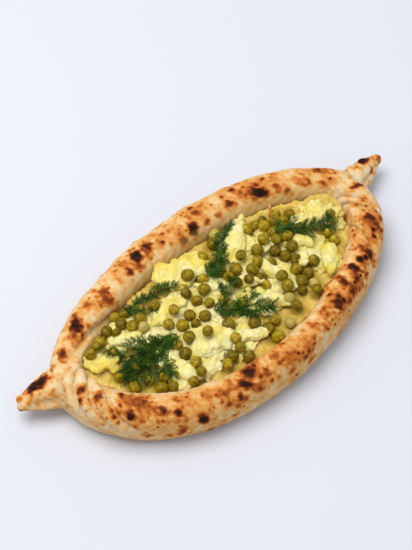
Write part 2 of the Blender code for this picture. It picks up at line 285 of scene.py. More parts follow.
def fold_height(degrees, roll):
    """How far the rope folds move the roll's surface outwards, and how deep in a crease it is (0 to 1)."""
    past, left = from_tip(degrees)
    moved, crease = np.zeros_like(past), np.zeros_like(past)
    for creases, here in ((LEFT_CREASES, left), (RIGHT_CREASES, ~left)):
        for place, depth in creases:
            away_from = np.abs(past - place)
            valley = 0.45 * np.exp(-((away_from / 1.9) ** 1.4)) + 0.55 * np.exp(-((away_from / 0.62) ** 1.3))
            moved -= np.where(here, depth * valley, 0.0)
            crease = np.maximum(crease, np.where(here, np.exp(-((away_from / 0.9) ** 1.5)), 0.0))
        for (start, _), (stop, _) in zip(creases, creases[1:]):
            share = np.clip((past - start) / (stop - start), 0.0, 1.0)
            moved += np.where(here, LOBE_SWELL * (1.0 - np.abs(2.0 * share - 1.0) ** 2.5), 0.0)
    low_end = ramp(roll, -25.0, 35.0)
    inner_end = np.where(moved > 0, 1.0 - ramp(roll, 120.0, 150.0), 1.0 - ramp(roll, 146.0, 176.0))
    return moved * low_end * inner_end, crease * low_end * inner_end


def long_fold(degrees, roll):
    """The crease that runs along the inside of the far side's left end."""
    along = (degrees - 118.0) / 57.0
    centre = 172.0 - 88.0 * along
    there = ramp(along, 0.0, 0.3) * (1.0 - ramp(along, 0.93, 1.0))
    away_from = roll - centre
    valley = 0.4 * np.exp(-((away_from / 15.0) ** 2)) + 0.6 * np.exp(-np.abs(away_from / 4.0) ** 1.3)
    fold = 1.1 * MM * np.exp(-(((away_from - 24.0) / 16.0) ** 2))
    return there * (fold - 2.5 * MM * valley)


def inner_bubble(degrees, roll):
    past = np.hypot(np.radians(degrees - 300.0) * 75.0, np.radians(roll - 150.0) * 14.0)
    return 2.8 * MM * np.exp(-((past / 6.3) ** 2))


# %% [markdown]
# ## The crust
# The crust is one closed skin: a ball of columns and rows whose rows become the underside, the roll and
# the floor of the boat. Two more balls become the pinched horns. They are joined, and a voxel remesh
# welds them into one even skin, as dough that is pressed together. Its hidden areas are thinned out
# afterwards, so that the points are spent where the bread is seen.

# %% A ball whose rows and columns are reshaped
def shaped_ball(name, columns, rows, place):
    """Adds a UV sphere, and moves the point in each column and row to place(columns, rows)."""
    pick(None)
    bpy.ops.mesh.primitive_uv_sphere_add(segments=columns, ring_count=rows, radius=1.0)
    ball = bpy.context.object
    ball.name = name
    points = points_of(ball)
    row = np.rint((math.pi - np.arccos(np.clip(points[:, 2], -1, 1))) / math.pi * rows).astype(int)
    column = np.rint(np.arctan2(points[:, 1], points[:, 0]) / (2 * math.pi) * columns).astype(int) % columns
    move_points(ball, place(column, row))
    pick(ball)
    bpy.ops.object.mode_set(mode="EDIT")
    bpy.ops.mesh.select_all(action="SELECT")
    bpy.ops.mesh.normals_make_consistent(inside=False)
    bpy.ops.object.mode_set(mode="OBJECT")
    return ball


ROUND_COLUMNS = 640
ROLL_ROWS = 88
FLAT_ROWS = 3
HUB = np.array([MIDDLE_X, END_LINE - 16.5 * MM])
rim_degrees = np.arange(ROUND_COLUMNS) * 360.0 / ROUND_COLUMNS
rim_rolls = np.linspace(LOWEST_ROLL, FLOOR_ROLL, ROLL_ROWS)
crust_rows = ROLL_ROWS + 2 * FLAT_ROWS + 1


def rim_surface(station, roll):
    """Place, degrees round the boat and crease mask of each point of the finished roll."""
    there = lean(station, roll)
    folds, crease = fold_height(station, roll)
    swell = folds + long_fold(there, roll) + inner_bubble(there, roll)
    return rim_point(there, roll, swell), there, crease


def crust_place(column, row):
    station = rim_degrees[column]
    roll = rim_rolls[np.clip(row - 1 - FLAT_ROWS, 0, ROLL_ROWS - 1)]
    place = rim_surface(station, roll)[0]
    place[row <= 1 + FLAT_ROWS, 2] = 0.0
    inward = np.clip(np.maximum((1 + FLAT_ROWS - row), row - ROLL_ROWS - FLAT_ROWS) / (1.0 + FLAT_ROWS), 0, 1)
    place[:, :2] += (HUB - place[:, :2]) * inward[:, None]
    place[row > ROLL_ROWS + FLAT_ROWS, 2] = FLOOR_TOP
    return place


crust = shaped_ball("bread_crust", ROUND_COLUMNS, crust_rows, crust_place)
print("crust before the remesh:", len(crust.data.vertices), "points")

# %% [markdown]
# Each horn is a flattened, tapering pinch. Its face has a shallow valley with a rolled lip below it,
# left by the baker's thumb, and its tip ends in small knobs.

# %% Pinched horns
# x of root and tip, y of the far edge at root and tip, half width and half height at both, taper and hook.
LEFT_HORN = (-121.25, -162.75, 33.5, 25.5, 17.5, 2.8, 14.0, 3.0, 1.6, 5.0)
RIGHT_HORN = (118.75, 162.75, 29.0, 24.0, 15.0, 3.0, 13.0, 3.0, 1.3, 3.0)
HORN_LIFT = 15.5
HORN_TIPS = (
    ("tip_1", (-158.0, 27.6, 16.8), 3.1), ("tip_2", (-161.0, 24.4, 13.8), 2.7), ("tip_3", (159.6, 20.9, 16.3), 3.8),
    ("blister", (147.4, 22.2, 20.6), 4.4),
)
HORN_COLUMNS, HORN_ROWS = 120, 110


def horn_place(sizes):
    root_x, tip_x, root_far, tip_far, root_half, tip_half, root_rise, tip_rise, taper, hook = sizes

    def place(column, row):
        along = row / HORN_ROWS
        angle = 2 * math.pi * column / HORN_COLUMNS
        left = 1.0 - along**taper
        half = tip_half + (root_half - tip_half) * left
        rise = tip_rise + (root_rise - tip_rise) * left
        closing = np.sqrt(np.maximum(0.0, 1.0 - np.abs(2.0 * along - 1.0) ** 9))
        degrees = np.degrees(angle)
        middle = np.sin(math.pi * np.minimum(1.0, along * 1.1))
        valley = 2.8 * np.exp(-(((degrees - 244.0) / 19.0) ** 2)) * middle
        lip = 1.2 * np.exp(-(((degrees - 280.0) / 13.0) ** 2)) * ramp(along, 0.35, 0.75) * middle
        ridge = 1.1 * np.exp(-(((degrees - 184.0) / 26.0) ** 2)) * middle
        dip = 1.0 - (valley - lip - ridge) / rise
        y = root_far + (tip_far - root_far) * along**hook - half + half * closing * dip * np.sin(angle)
        z = HORN_LIFT - rise * closing * dip * np.cos(angle)
        return np.stack([root_x + (tip_x - root_x) * along, y, z], -1) * MM

    return place


horns = [shaped_ball(name, HORN_COLUMNS, HORN_ROWS, horn_place(sizes))
         for name, sizes in (("left_horn", LEFT_HORN), ("right_horn", RIGHT_HORN))]
for name, place, radius in HORN_TIPS:
    pick(None)
    bpy.ops.mesh.primitive_uv_sphere_add(segments=32, ring_count=20, radius=radius * MM,
                                         location=Vector(place) * MM)
    knob = bpy.context.object
    knob.name = name
    bpy.ops.object.transform_apply(location=True, rotation=True, scale=True)
    horns.append(knob)
print("horns and knobs:", len(horns))

# %% Join and remesh
VOXEL = 0.91 * MM
pick(crust)
for horn in horns:
    horn.select_set(True)
bpy.ops.object.join()
weld = crust.modifiers.new("weld", "REMESH")
weld.mode = "VOXEL"
weld.voxel_size = VOXEL
soften = crust.modifiers.new("soften", "SMOOTH")
soften.factor = 0.5
soften.iterations = 2
apply_modifiers(crust)
print("crust after the remesh:", len(crust.data.vertices), "points")


# %% [markdown]
# ## Where the oven touched it
# Heat browns dough in three ways. The whole crown of the roll turns golden. Single burns, from chestnut
# to black, sit where the dough stood nearest to the oven's vault. And hundreds of small bubbles in the
# skin brown first, which gives the leopard spots. All three add up to one number for each point, its
# heat, and the material turns heat into colour, from cream over gold and chestnut to black. Painted
# shade is added to the same number, at the bottom of the rope creases and low on the left horn.

# %% Which part of the rim each point belongs to
stations = np.tile(rim_degrees, len(rim_rolls))
station_rolls = np.repeat(rim_rolls, len(rim_degrees))
sample_places, sample_degrees, sample_creases = rim_surface(stations, station_rolls)
lookup = KDTree(len(sample_places))
for k, place in enumerate(sample_places):
    lookup.insert(place, k)
lookup.balance()

skin = points_of(crust)
nearest = [lookup.find(place)[1:] for place in skin]
sample = np.array([found[0] for found in nearest])
off_rim = ramp(np.array([found[1] for found in nearest]), 1.5 * MM, 5.0 * MM)
degrees = np.mod(sample_degrees[sample], 360.0)
roll = station_rolls[sample]
crease = sample_creases[sample] * (1.0 - off_rim)
far_side = degrees < 180.0
print("points on the horns:", int((off_rim > 0.5).sum()))

# %% [markdown]
# The larger burns are set one by one: place round the boat and round the roll in degrees, half length
# along the rim and half width across it in millimetres, and how hot it was there.

# %% The larger burns
RIM_BURNS = (
    (54, 112, 6, 4.5, 1.00), (57, 104, 4, 4, 0.75), (83, 119, 3.8, 4.8, 0.98), (88, 134, 3.0, 3.2, 0.78),
    (67, 105, 3.2, 3.0, 0.80), (77, 120, 2.2, 2.4, 0.70), (72, 123, 1.9, 2.0, 0.62), (80, 85, 2.0, 2.2, 0.70),
    (95, 101, 1.7, 1.8, 0.74), (105, 90, 5.0, 5.0, 0.96), (100, 88, 4.6, 4.2, 0.80), (107, 106, 2.6, 3.0, 0.66),
    (111, 105, 3.0, 2.4, 0.74), (93, 86, 1.6, 1.6, 0.72), (52, 76, 2.1, 2.0, 0.70), (55, 88, 3.0, 2.4, 0.70),
    (47, 106, 3.4, 3.0, 0.66), (40, 134, 3.0, 2.2, 0.48), (20, 119, 3.6, 2.6, 0.62), (22, 78, 5.0, 5.0, 0.58),
    (27, 72, 3.6, 3.6, 0.74), (125, 108, 3.6, 8.0, 0.70), (123, 92, 4.4, 3.6, 0.70), (142, 85, 6.0, 4.4, 0.93),
    (147, 91, 4.4, 2.8, 0.66), (158, 79, 4.6, 3.2, 0.82), (153, 101, 2.0, 1.8, 0.52), (34, 104, 5.0, 4.0, 0.48),
    (189, 78, 2.6, 3.6, 0.88), (191, 57, 2.0, 2.8, 0.82), (197, 82, 3.0, 4.4, 0.80), (212, 61, 3.0, 3.2, 0.97),
    (207, 61, 2.6, 2.4, 0.70), (214, 91, 7.4, 6.0, 0.67),
    (208, 101, 4.0, 3.4, 0.60), (219, 80, 4.5, 4.0, 0.55), (216, 96, 2.6, 2.2, 0.70), (210, 90, 2.0, 2.0, 0.68), (224, 74, 3.6, 2.8, 0.70),
    (229, 63, 3.0, 3.0, 0.84), (237, 27, 3.8, 4.0, 0.97), (230, 5, 3.6, 3.6, 0.72), (219, -1, 2.8, 2.2, 0.68),
    (247, -4, 3.0, 2.0, 0.62), (245, 76, 2.6, 2.6, 0.68), (250, 46, 2.4, 4.2, 0.78), (256, 42, 2.6, 3.0, 0.66),
    (255, 97, 5.4, 4.4, 0.95), (252, 78, 4.0, 4.4, 0.93), (256, 112, 2.2, 3.6, 0.78), (265, 97, 3.8, 2.6, 0.60),
    (260, 68, 2.2, 3.0, 0.64), (268, 25, 2.2, 2.6, 0.62), (276, 8, 3.0, 3.6, 0.50), (275, 46, 2.2, 2.4, 0.58),
    (293, 74, 4.6, 5.2, 0.84), (289, 97, 3.4, 2.6, 0.62), (302, 92, 3.4, 3.4, 0.84), (304, 112, 1.8, 5.0, 0.66),
    (300, 150, 5.4, 5.0, 0.60), (309, 87, 2.8, 6.4, 0.90), (317, 68, 3.4, 7.0, 0.86), (301, 69, 2.8, 3.6, 0.70),
    (319, 91, 2.6, 2.4, 0.72), (334, 80, 4.0, 6.0, 0.90), (331, 68, 3.4, 5.0, 0.78), (346, 84, 2.4, 2.6, 0.68),
    (354, 82, 2.6, 4.4, 0.90), (315, 20, 2.4, 2.6, 0.56), (284, 60, 2.2, 2.6, 0.56),
)
# Paler and browner patches of the crown: degrees, roll, half length and half width, and the change.
CROWN_PATCHES = (
    (138, 107, 8, 8, -0.7), (121, 96, 7, 9, -0.8), (200, 108, 7, 7, -0.5), (151, 90, 8, 9, -0.6),
    (160, 64, 9, 8, -0.6), (335, 126, 7, 6, -0.4), (299, 114, 6, 6, -0.4), (269, 98, 6, 5, -0.4),
    (222, 128, 7, 6, -0.4), (319, 116, 6, 6, -0.4), (42, 112, 6, 6, -0.4), (120, 130, 6, 6, -0.5),
    (135, 127, 9, 6, -0.6), (262, 115, 6, 6, -0.4), (32, 128, 6, 6, -0.4), (248, 67, 4, 4, -0.4),
    (288, 124, 6, 6, -0.4), (296, 38, 5, 5, -0.5), (327, 97, 5, 6, -0.4), (349, 121, 6, 6, -0.4),
    (64, 64, 5, 5, -0.5), (90, 106, 5, 5, -0.4),
    (61, 97, 6, 5, 0.5), (312, 60, 7, 6, 0.7), (241, 88, 7, 5, 0.5), (288, 62, 6, 6, 0.6),
    (211, 67, 5, 5, 0.5), (108, 91, 5, 5, 0.4), (196, 58, 5, 5, 0.4), (130, 70, 7, 5, 0.45),
    (51, 95, 5, 5, 0.4), (213, 31, 5, 4, 0.6), (321, 58, 6, 6, 0.5), (231, 89, 5, 5, 0.35),
    (67, 94, 5, 5, 0.35), (2, 101, 7, 6, 0.4), (171, 92, 5, 5, 0.35), (275, 76, 5, 5, 0.4),
    (351, 79, 5, 5, 0.4), (188, 34, 6, 5, 0.4), (13, 113, 5, 5, 0.35), (259, 55, 5, 5, 0.35),
)
# The burns of the horns, and two patches of light toast and painted shade, as a place in millimetres,
# a radius and the heat.
HORN_BURNS = (
    ((-142.2, 26.6, 25.5), 5.8, 1.00), ((-146.1, 27.0, 22.8), 5.8, 1.00), ((-138.5, 25.8, 27.2), 4.0, 0.90),
    # The broad mild ones at (-142.0, 17.1, 12.0) and (-149.0, 21.0, 11.0) are light toast and painted shade on the
    # left horn's lower near face, which turns away from the light.
    ((-149.5, 28.2, 20.5), 2.8, 0.86), ((-142.0, 17.1, 12.0), 10.0, 0.31), ((-149.0, 21.0, 11.0), 7.0, 0.33), ((-153.5, 28.4, 19.0), 2.8, 0.66), ((-158.5, 26.8, 17.5), 2.6, 0.66),
    ((-161.5, 22.0, 13.0), 2.8, 0.72), ((-131.0, 28.0, 28.5), 3.6, 0.52), ((147.6, 23.0, 25.0), 4.6, 1.00),
    ((151.5, 23.5, 21.5), 3.2, 0.92), ((155.0, 22.0, 17.0), 3.4, 0.60), ((161.5, 21.0, 16.5), 3.4, 0.64),
    ((149.0, 15.0, 18.0), 2.4, 0.72), ((133.0, 26.5, 27.0), 2.6, 0.56), ((139.0, 21.0, 24.5), 2.4, 0.58),)


def rim_frame(burn_degrees, burn_roll):
    """A place on the rim, and the unit directions along it, across it and out of it."""
    around = np.array([burn_degrees, burn_degrees + 1.0, burn_degrees])
    over = np.array([burn_roll, burn_roll, burn_roll + 1.0])
    here, further, higher = rim_point(around, over)
    along = (further - here) / np.linalg.norm(further - here)
    across = (higher - here) / np.linalg.norm(higher - here)
    return here, along, across, np.cross(along, across)


def oval_distance(points, spot, half_length, half_width):
    """Distance from a spot on the rim, where 1 is the edge of an oval that lies in the skin."""
    here, along, across, out = rim_frame(*spot)
    away_from = points - here
    depth = max(half_length, half_width) * 1.6
    return np.sqrt((away_from @ along / half_length) ** 2 + (away_from @ across / half_width) ** 2
                   + (away_from @ out / depth) ** 2)


ragged = 0.20 * waves(skin, 5.0 * MM, 11) + 0.15 * waves(skin, 1.9 * MM, 12)
burn = np.zeros(len(skin))
halo = np.zeros(len(skin))
blister = np.zeros(len(skin))
for around, over, half_length, half_width, heat in RIM_BURNS:
    away_from = oval_distance(skin, (around, over), half_length * MM, half_width * MM)
    burn = np.maximum(burn, heat * (1.0 - ramp(away_from + ragged, 0.30, 1.95)))
    halo = np.maximum(halo, 0.47 * (1.0 - ramp(away_from + 1.6 * ragged, 0.9, 2.7)))
    blister = np.maximum(blister, 0.22 * min(half_length, half_width) * heat * np.exp(-(away_from / 0.9) ** 2))
for place, radius, heat in HORN_BURNS:
    away_from = np.linalg.norm(skin - np.array(place) * MM, axis=1) / (radius * MM)
    burn = np.maximum(burn, heat * (1.0 - ramp(away_from + ragged, 0.40, 1.70)))
    halo = np.maximum(halo, min(0.44, heat) * (1.0 - ramp(away_from + 1.6 * ragged, 1.0, 2.2)))
print("burns:", len(RIM_BURNS) + len(HORN_BURNS))

# %% [markdown]
# The golden crown is widest on the far side. Near the ends, where the dough was pinched, the skin stayed
# pale with flour. On the near side it fades towards the table, where only faint freckles are left.

# %% The golden crown
crown_far = 0.85 * ramp(roll, 38.0, 74.0) * (1.0 - ramp(roll, 112.0, 142.0))
crown_near = (0.34 + 0.66 * ramp(roll, 20.0, 70.0)) * (1.0 - 0.45 * ramp(roll, 104.0, 140.0))
crown = np.where(far_side, crown_far, crown_near)
past, left = from_tip(degrees)
end_fade = np.where(left, ramp(np.abs(past + 4.0), 8.0, 24.0), ramp(np.abs(past - 1.0), 6.0, 18.0))
patches = 0.52 + 0.40 * waves(skin, 26.0 * MM, 21) + 0.34 * waves(skin, 10.0 * MM, 22)
patches += 0.10 * waves(skin, 3.6 * MM, 23)
for around, over, half_length, half_width, change in CROWN_PATCHES:
    away_from = oval_distance(skin, (around, over), half_length * MM, half_width * MM)
    inside = 1.0 - ramp(away_from + ragged, 0.4, 1.5)
    patches += change * inside
    halo *= 1.0 - max(0.0, -change) * inside * (burn < 0.25)
toast = crown * (0.22 + 0.78 * end_fade) * np.clip(patches, 0.05, 1.20) * (1.0 - off_rim)
toast = np.maximum(toast, off_rim * 0.18 * (1.0 + 0.6 * waves(skin, 9.0 * MM, 24)))
print("mean toast of the rim:", round(float(toast.mean()), 2))

# %% [markdown]
# Small bubbles are scattered over the skin with a fixed seed, closest together on the crown. Each one
# lifts the skin a little and is browner than what is round it.

# %% Leopard spots
SPOT_TRIES = 5600
draw = np.random.default_rng(7)
freckle = np.zeros(len(skin))
spots = 0
for _ in range(SPOT_TRIES):
    centre = int(draw.integers(len(skin)))
    chance, size, hot = draw.random(3)
    wanted = 0.05 + 0.55 * toast[centre] + 0.5 * halo[centre] + 0.08 * (roll[centre] < 60) * (roll[centre] > -30)
    if chance > wanted or skin[centre, 2] < 1.5 * MM or roll[centre] > 140:
        continue
    radius = (0.80 + 1.9 * size**3) * MM
    strength = 0.16 + 0.70 * hot**1.5 * (0.45 + 0.7 * toast[centre] + 0.6 * halo[centre])
    close = np.flatnonzero(np.abs(skin - skin[centre]).max(1) < radius * 2.2)
    away_from = np.linalg.norm(skin[close] - skin[centre], axis=1) / radius
    freckle[close] = np.maximum(freckle[close], strength * np.exp(-(away_from**2)))
    blister[close] = np.maximum(blister[close], 0.22 * radius / MM * np.exp(-(away_from / 0.9) ** 2))
    spots += 1
print("leopard spots:", spots)

# %% [markdown]
# Last, the skin itself is made uneven: broad soft swells, finer wrinkles, the blisters of the burns and
# spots, and slightly sunken creases. The underside stays flat, because the bread rests on it.

# %% Uneven skin
exposed = ramp(skin[:, 2], 0.4 * MM, 4.0 * MM) * (1.0 - ramp(roll, 168.0, 178.0) * (1.0 - off_rim))
swell = 0.42 * waves(skin, 15.0 * MM, 31) + 0.20 * waves(skin, 5.5 * MM, 32) + 0.10 * waves(skin, 2.4 * MM, 33)
lift = (swell + blister - 1.5 * crease**2) * MM * exposed
move_points(crust, skin + normals_of(crust) * lift[:, None])
skin = points_of(crust)
skin[:, 2] = np.where(skin[:, 2] < 0.25 * MM, 0.0, skin[:, 2])
move_points(crust, skin)

mottle = 0.5 * waves(skin, 4.6 * MM, 25) + 0.5 * waves(skin, 1.8 * MM, 26)
heat = 0.185 + 0.06 * mottle + 0.37 * toast + 0.74 * freckle * (1.0 - burn)
heat = np.maximum(heat, halo * (1.0 + 0.32 * mottle) + 0.30 * freckle)
heat = np.maximum(heat, burn) + 0.04 * mottle
# Along the sides of the creases the dough is paler, as less browned dough; the crease**4 term is painted shade, which
# darkens the bottom of each crease.
heat = heat * (1.0 - 0.35 * crease) + 0.38 * crease**4
stain = np.where(far_side, ramp(roll, 118.0, 150.0), 0.5 * ramp(roll, 150.0, 165.0)) * (1.0 - off_rim)
floury = (1.0 - ramp(np.abs(past - 6.0), 14.0, 40.0)) * (0.6 + 0.4 * waves(skin, 14.0 * MM, 27))
underside = 1.0 - ramp(skin[:, 2], 0.3 * MM, 3.0 * MM)
heat -= 0.13 * np.clip(floury, 0.0, 1.0) * (1.0 - halo)
keep_values(crust, "browning_and_painted_shade", heat * (1.0 - underside) + underside * 0.30)
keep_values(crust, "staining", stain)
print("hottest point:", round(float(heat.max()), 2))

# %% Thin out the hidden areas
hidden = (skin[:, 2] < 0.3 * MM) | ((roll > 150.0) & (off_rim < 0.5) & (skin[:, 2] < 20.0 * MM))
group = crust.vertex_groups.new(name="hidden")
group.add([int(k) for k in np.flatnonzero(hidden)], 1.0, "REPLACE")
thin = crust.modifiers.new("thin", "DECIMATE")
thin.vertex_group = "hidden"
thin.ratio = 1.0 - 0.9 * float(hidden.mean())
apply_modifiers(crust)
crust.vertex_groups.clear()
print("hidden share:", round(float(hidden.mean()), 2), "- points left:", len(crust.data.vertices))


# %% [markdown]
# ## Materials
# Every finish here is a node tree on the piece's own coordinates. A small helper adds a node and wires
# its inputs in one line. What several finishes share is a node group: a coarse and a fine noise, which
# make any moist or baked surface less even, and a height made of both for the bump.

# %% A helper for nodes, and the shared unevenness
def node(tree, kind, inputs=None, **settings):
    made = tree.nodes.new(kind)
    for key, value in settings.items():
        setattr(made, key, value)
    for key, value in (inputs or {}).items():
        if isinstance(value, bpy.types.NodeSocket):
            tree.links.new(value, made.inputs[key])
        else:
            made.inputs[key].default_value = value
    return made


def maths(tree, operation, one, two=0.0, clamp=False):
    return node(tree, "ShaderNodeMath", {0: one, 1: two}, operation=operation, use_clamp=clamp).outputs[0]


def mixed(tree, share, one, two):
    made = node(tree, "ShaderNodeMix", {"Factor": share, 6: one, 7: two}, data_type="RGBA")
    return made.outputs[2]


def colour_ramp(tree, share, stops):
    made = node(tree, "ShaderNodeValToRGB", {"Fac": share})
    steps = made.color_ramp.elements
    steps[0].color = (*stops[0][1], 1.0)
    steps[1].color = (*stops[-1][1], 1.0)
    for place, colour in stops[1:-1]:
        steps.new(place).color = (*colour, 1.0)
    return made.outputs["Color"]


def value_of(tree, name):
    return node(tree, "ShaderNodeAttribute", attribute_name=name).outputs["Fac"]


uneven = bpy.data.node_groups.new("unevenness", "ShaderNodeTree")
for name, usual in (("Coarse per metre", 150.0), ("Fine per metre", 800.0), ("Fine share", 0.4)):
    socket = uneven.interface.new_socket(name, in_out="INPUT", socket_type="NodeSocketFloat")
    socket.default_value = usual
for name in ("Coarse", "Fine", "Height"):
    uneven.interface.new_socket(name, in_out="OUTPUT", socket_type="NodeSocketFloat")
given = uneven.nodes.new("NodeGroupInput").outputs
place = node(uneven, "ShaderNodeTexCoord").outputs["Object"]
coarse = node(uneven, "ShaderNodeTexNoise", {"Vector": place, "Scale": given[0], "Detail": 3.0}).outputs["Fac"]
fine = node(uneven, "ShaderNodeTexNoise", {"Vector": place, "Scale": given[1], "Detail": 4.0}).outputs["Fac"]
height = node(uneven, "ShaderNodeMix", {"Factor": given[2], 2: coarse, 3: fine}).outputs[0]
taken = uneven.nodes.new("NodeGroupOutput")
for k, socket in enumerate((coarse, fine, height)):
    uneven.links.new(socket, taken.inputs[k])


def new_look(name, coarse_per_metre, fine_per_metre, fine_share, **uniform):
    """A material with its shader and its own copy of the shared unevenness."""
    look = bpy.data.materials.new(name)
    look.use_nodes = True
    shader = look.node_tree.nodes["Principled BSDF"]
    for key, value in uniform.items():
        shader.inputs[key.replace("_", " ").replace("Ior", "IOR")].default_value = value
    bumps = node(look.node_tree, "ShaderNodeGroup", node_tree=uneven)
    for k, value in enumerate((coarse_per_metre, fine_per_metre, fine_share)):
        bumps.inputs[k].default_value = value
    return look, look.node_tree, shader, bumps.outputs


def bump(tree, shader, height, strength, depth):
    made = node(tree, "ShaderNodeBump", {"Height": height, "Strength": strength, "Distance": depth})
    tree.links.new(made.outputs["Normal"], shader.inputs["Normal"])


# %% [markdown]
# Baked dough goes through a known row of colours as it heats: cream, gold, orange brown, chestnut, and
# black with a slight shine. The heat of each point is disturbed by both noises, and by tiny freckles of
# a Voronoi pattern where the skin is golden, and a colour ramp turns it into colour.

# %% Baked dough
dough, tree, shader, bumps = new_look(
    "baked_dough", 130.0, 750.0, 0.45, Specular_Ior_Level=0.05, Subsurface_Weight=0.06, Subsurface_Scale=0.004)
# Besides the heat, this number holds painted shade at the bottom of the rope creases and low on the left horn.
heat = value_of(tree, "browning_and_painted_shade")
stain = value_of(tree, "staining")
place = node(tree, "ShaderNodeTexCoord").outputs["Object"]
cells = node(tree, "ShaderNodeTexVoronoi", {"Vector": place, "Scale": 330.0}).outputs["Distance"]
specks = maths(tree, "MULTIPLY", maths(tree, "SUBTRACT", 0.30, cells, clamp=True), 2.2)
specks = maths(tree, "MULTIPLY", specks, maths(tree, "SUBTRACT", heat, 0.16, clamp=True))
blotch = maths(tree, "MULTIPLY", maths(tree, "SUBTRACT", bumps["Coarse"], 0.5), 0.22)
grain = maths(tree, "MULTIPLY", maths(tree, "SUBTRACT", bumps["Fine"], 0.5), 0.18)
disturbed = maths(tree, "ADD", maths(tree, "ADD", blotch, grain), maths(tree, "MULTIPLY", specks, 0.5))
baked = maths(tree, "ADD", heat, disturbed, clamp=True)
skin_colour = colour_ramp(tree, baked, (
    (0.00, (0.715, 0.580, 0.385)), (0.14, (0.695, 0.500, 0.268)), (0.26, (0.660, 0.388, 0.142)),
    (0.38, (0.615, 0.270, 0.062)), (0.50, (0.480, 0.148, 0.023)), (0.62, (0.285, 0.064, 0.010)),
    (0.75, (0.115, 0.022, 0.006)), (0.88, (0.038, 0.008, 0.003)), (1.00, (0.011, 0.005, 0.003)),
))
stained = mixed(tree, maths(tree, "MULTIPLY", stain, 0.55), skin_colour, (0.560, 0.350, 0.105, 1.0))
tree.links.new(stained, shader.inputs["Base Color"])
matt = node(tree, "ShaderNodeMapRange", {"Value": baked, 1: 0.3, 2: 0.9, 3: 0.66, 4: 0.42})
tree.links.new(matt.outputs[0], shader.inputs["Roughness"])
bump(tree, shader, bumps["Height"], 0.6, 0.8 * MM)
finish_mesh(crust, dough)
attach(crust, "root")
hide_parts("crust")


# %% [markdown]
# ## The filling
# Three things fill the boat: a bed of potato mash, curds of scrambled egg on it, and about a hundred
# peas in small heaps between them. The CAD holds mash and heaped peas as one solid, so here the mash
# becomes a lower bed, and every pea is made for real. Where the peas lie is planned first, because the
# mash sinks round them and is darkened there as painted shade. A heap is a middle, a number of peas
# and a spread; the peas of a heap are laid out like sunflower seeds, and then pushed apart until they
# only touch.

# %% Places on the filling
FILLING_LOW, FILLING_HIGH = (np.array(corner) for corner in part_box("filling"))


def on_filling(along, across):
    """x and y of a place in hundredths of the filling's half length and half width, from its middle."""
    middle, half = (FILLING_HIGH + FILLING_LOW)[:2] / 2.0, (FILLING_HIGH - FILLING_LOW)[:2] / 2.0
    return middle + np.array((along, across)) / 100.0 * half


# %% Where the peas lie
# Middle of each heap, as a place on the filling, number of peas, and spread in millimetres.
PEA_HEAPS = (
    (-67, 75, 1, 0), (-90, 50, 1, 0), (-76, 56, 2, 9), (-66, 58, 2, 6), (-61, 68, 1, 0),
    (-62, 48, 1, 0), (-53, 54, 2, 6), (-41, 52, 1, 0), (-35, 25, 1, 0), (-43, 15, 1, 0),
    (-37, 1, 1, 0), (-29, 7, 1, 0), (-30, -9, 1, 0), (-21, 38, 1, 0), (-11, 25, 1, 0), (-19, 19, 1, 0),
    (-14, 5, 1, 0), (-22, -7, 1, 0), (-13, 56, 1, 0), (-6, 42, 1, 0), (7, 36, 1, 0), (4, 71, 1, 0),
    (12, 21, 2, 6), (22, 34, 1, 0), (27, 17, 2, 7), (25, 3, 2, 7), (35, 1, 1, 0), (40, 32, 1, 0),
    (48, 32, 2, 8), (58, 36, 1, 0), (53, 15, 1, 0), (47, 3, 3, 7), (14, -5, 1, 0), (22, -20, 1, 0),
    (8, 3, 1, 0), (-5, 1, 1, 0), (32, -36, 2, 6), (43, -34, 1, 0), (48, -17, 1, 0), (39, -52, 2, 6),
    (56, -36, 1, 0), (45, -44, 1, 0), (43, 66, 2, 5), (52, 66, 1, 0), (51, 52, 2, 7), (62, 62, 1, 0),
    (61, 46, 1, 0), (69, 50, 1, 0), (17, 81, 1, 0), (78, -24, 1, 0), (78, -11, 1, 0), (-48, -17, 1, 0),
    (-40, -22, 1, 0), (-48, -36, 1, 0), (-47, -56, 1, 0), (-15, -38, 1, 0), (-18, -63, 1, 0),
    (-18, -81, 2, 8), (-27, -79, 1, 0), (-51, -79, 1, 0), (-67, -44, 1, 0), (-75, -34, 1, 0),
    (-85, -26, 1, 0), (-71, -60, 2, 6), (-79, -15, 2, 6), (-87, -3, 1, 0), (-70, -7, 1, 0),
    (-2, -60, 1, 0), (10, -71, 1, 0), (3, -79, 1, 0), (2, -24, 1, 0), (4, -95, 1, 0), (-81, 28, 1, 0),
)
COATED_PEAS = ((47, -60), (22, 93), (26, -71), (-56, 34), (16, -89))
SMALL_PEA, LARGE_PEA = 7.2 * MM, 9.4 * MM
PEA_SQUEEZE = 0.92

packed_peas = sorted((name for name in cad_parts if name.startswith("pea_")), key=lambda n: int(n[4:]))
draw = np.random.default_rng(3)
pea_spots, pea_radii, pea_coats = [], [], []
for name in packed_peas:
    low, high = (np.array(corner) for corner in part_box(name))
    pea_spots.append((low + high)[:2] / 2.0)
    pea_radii.append((high - low)[0] / 2.0)
    pea_coats.append(0.0)
for along, across, count, spread in PEA_HEAPS:
    turn = draw.uniform(0.0, 2.0 * math.pi)
    for k in range(count):
        reach = spread * MM * math.sqrt((k + 0.4) / count) * 0.9
        angle = turn + k * 2.4
        pea_spots.append(on_filling(along, across) + reach * np.array((math.cos(angle), math.sin(angle))))
        pea_radii.append(draw.uniform(SMALL_PEA, LARGE_PEA) / 2.0)
        pea_coats.append(0.0)
for spot in COATED_PEAS:
    pea_spots.append(on_filling(*spot))
    pea_radii.append(draw.uniform(SMALL_PEA, LARGE_PEA) / 2.0)
    pea_coats.append(1.0)
pea_spots, pea_radii = np.array(pea_spots), np.array(pea_radii)

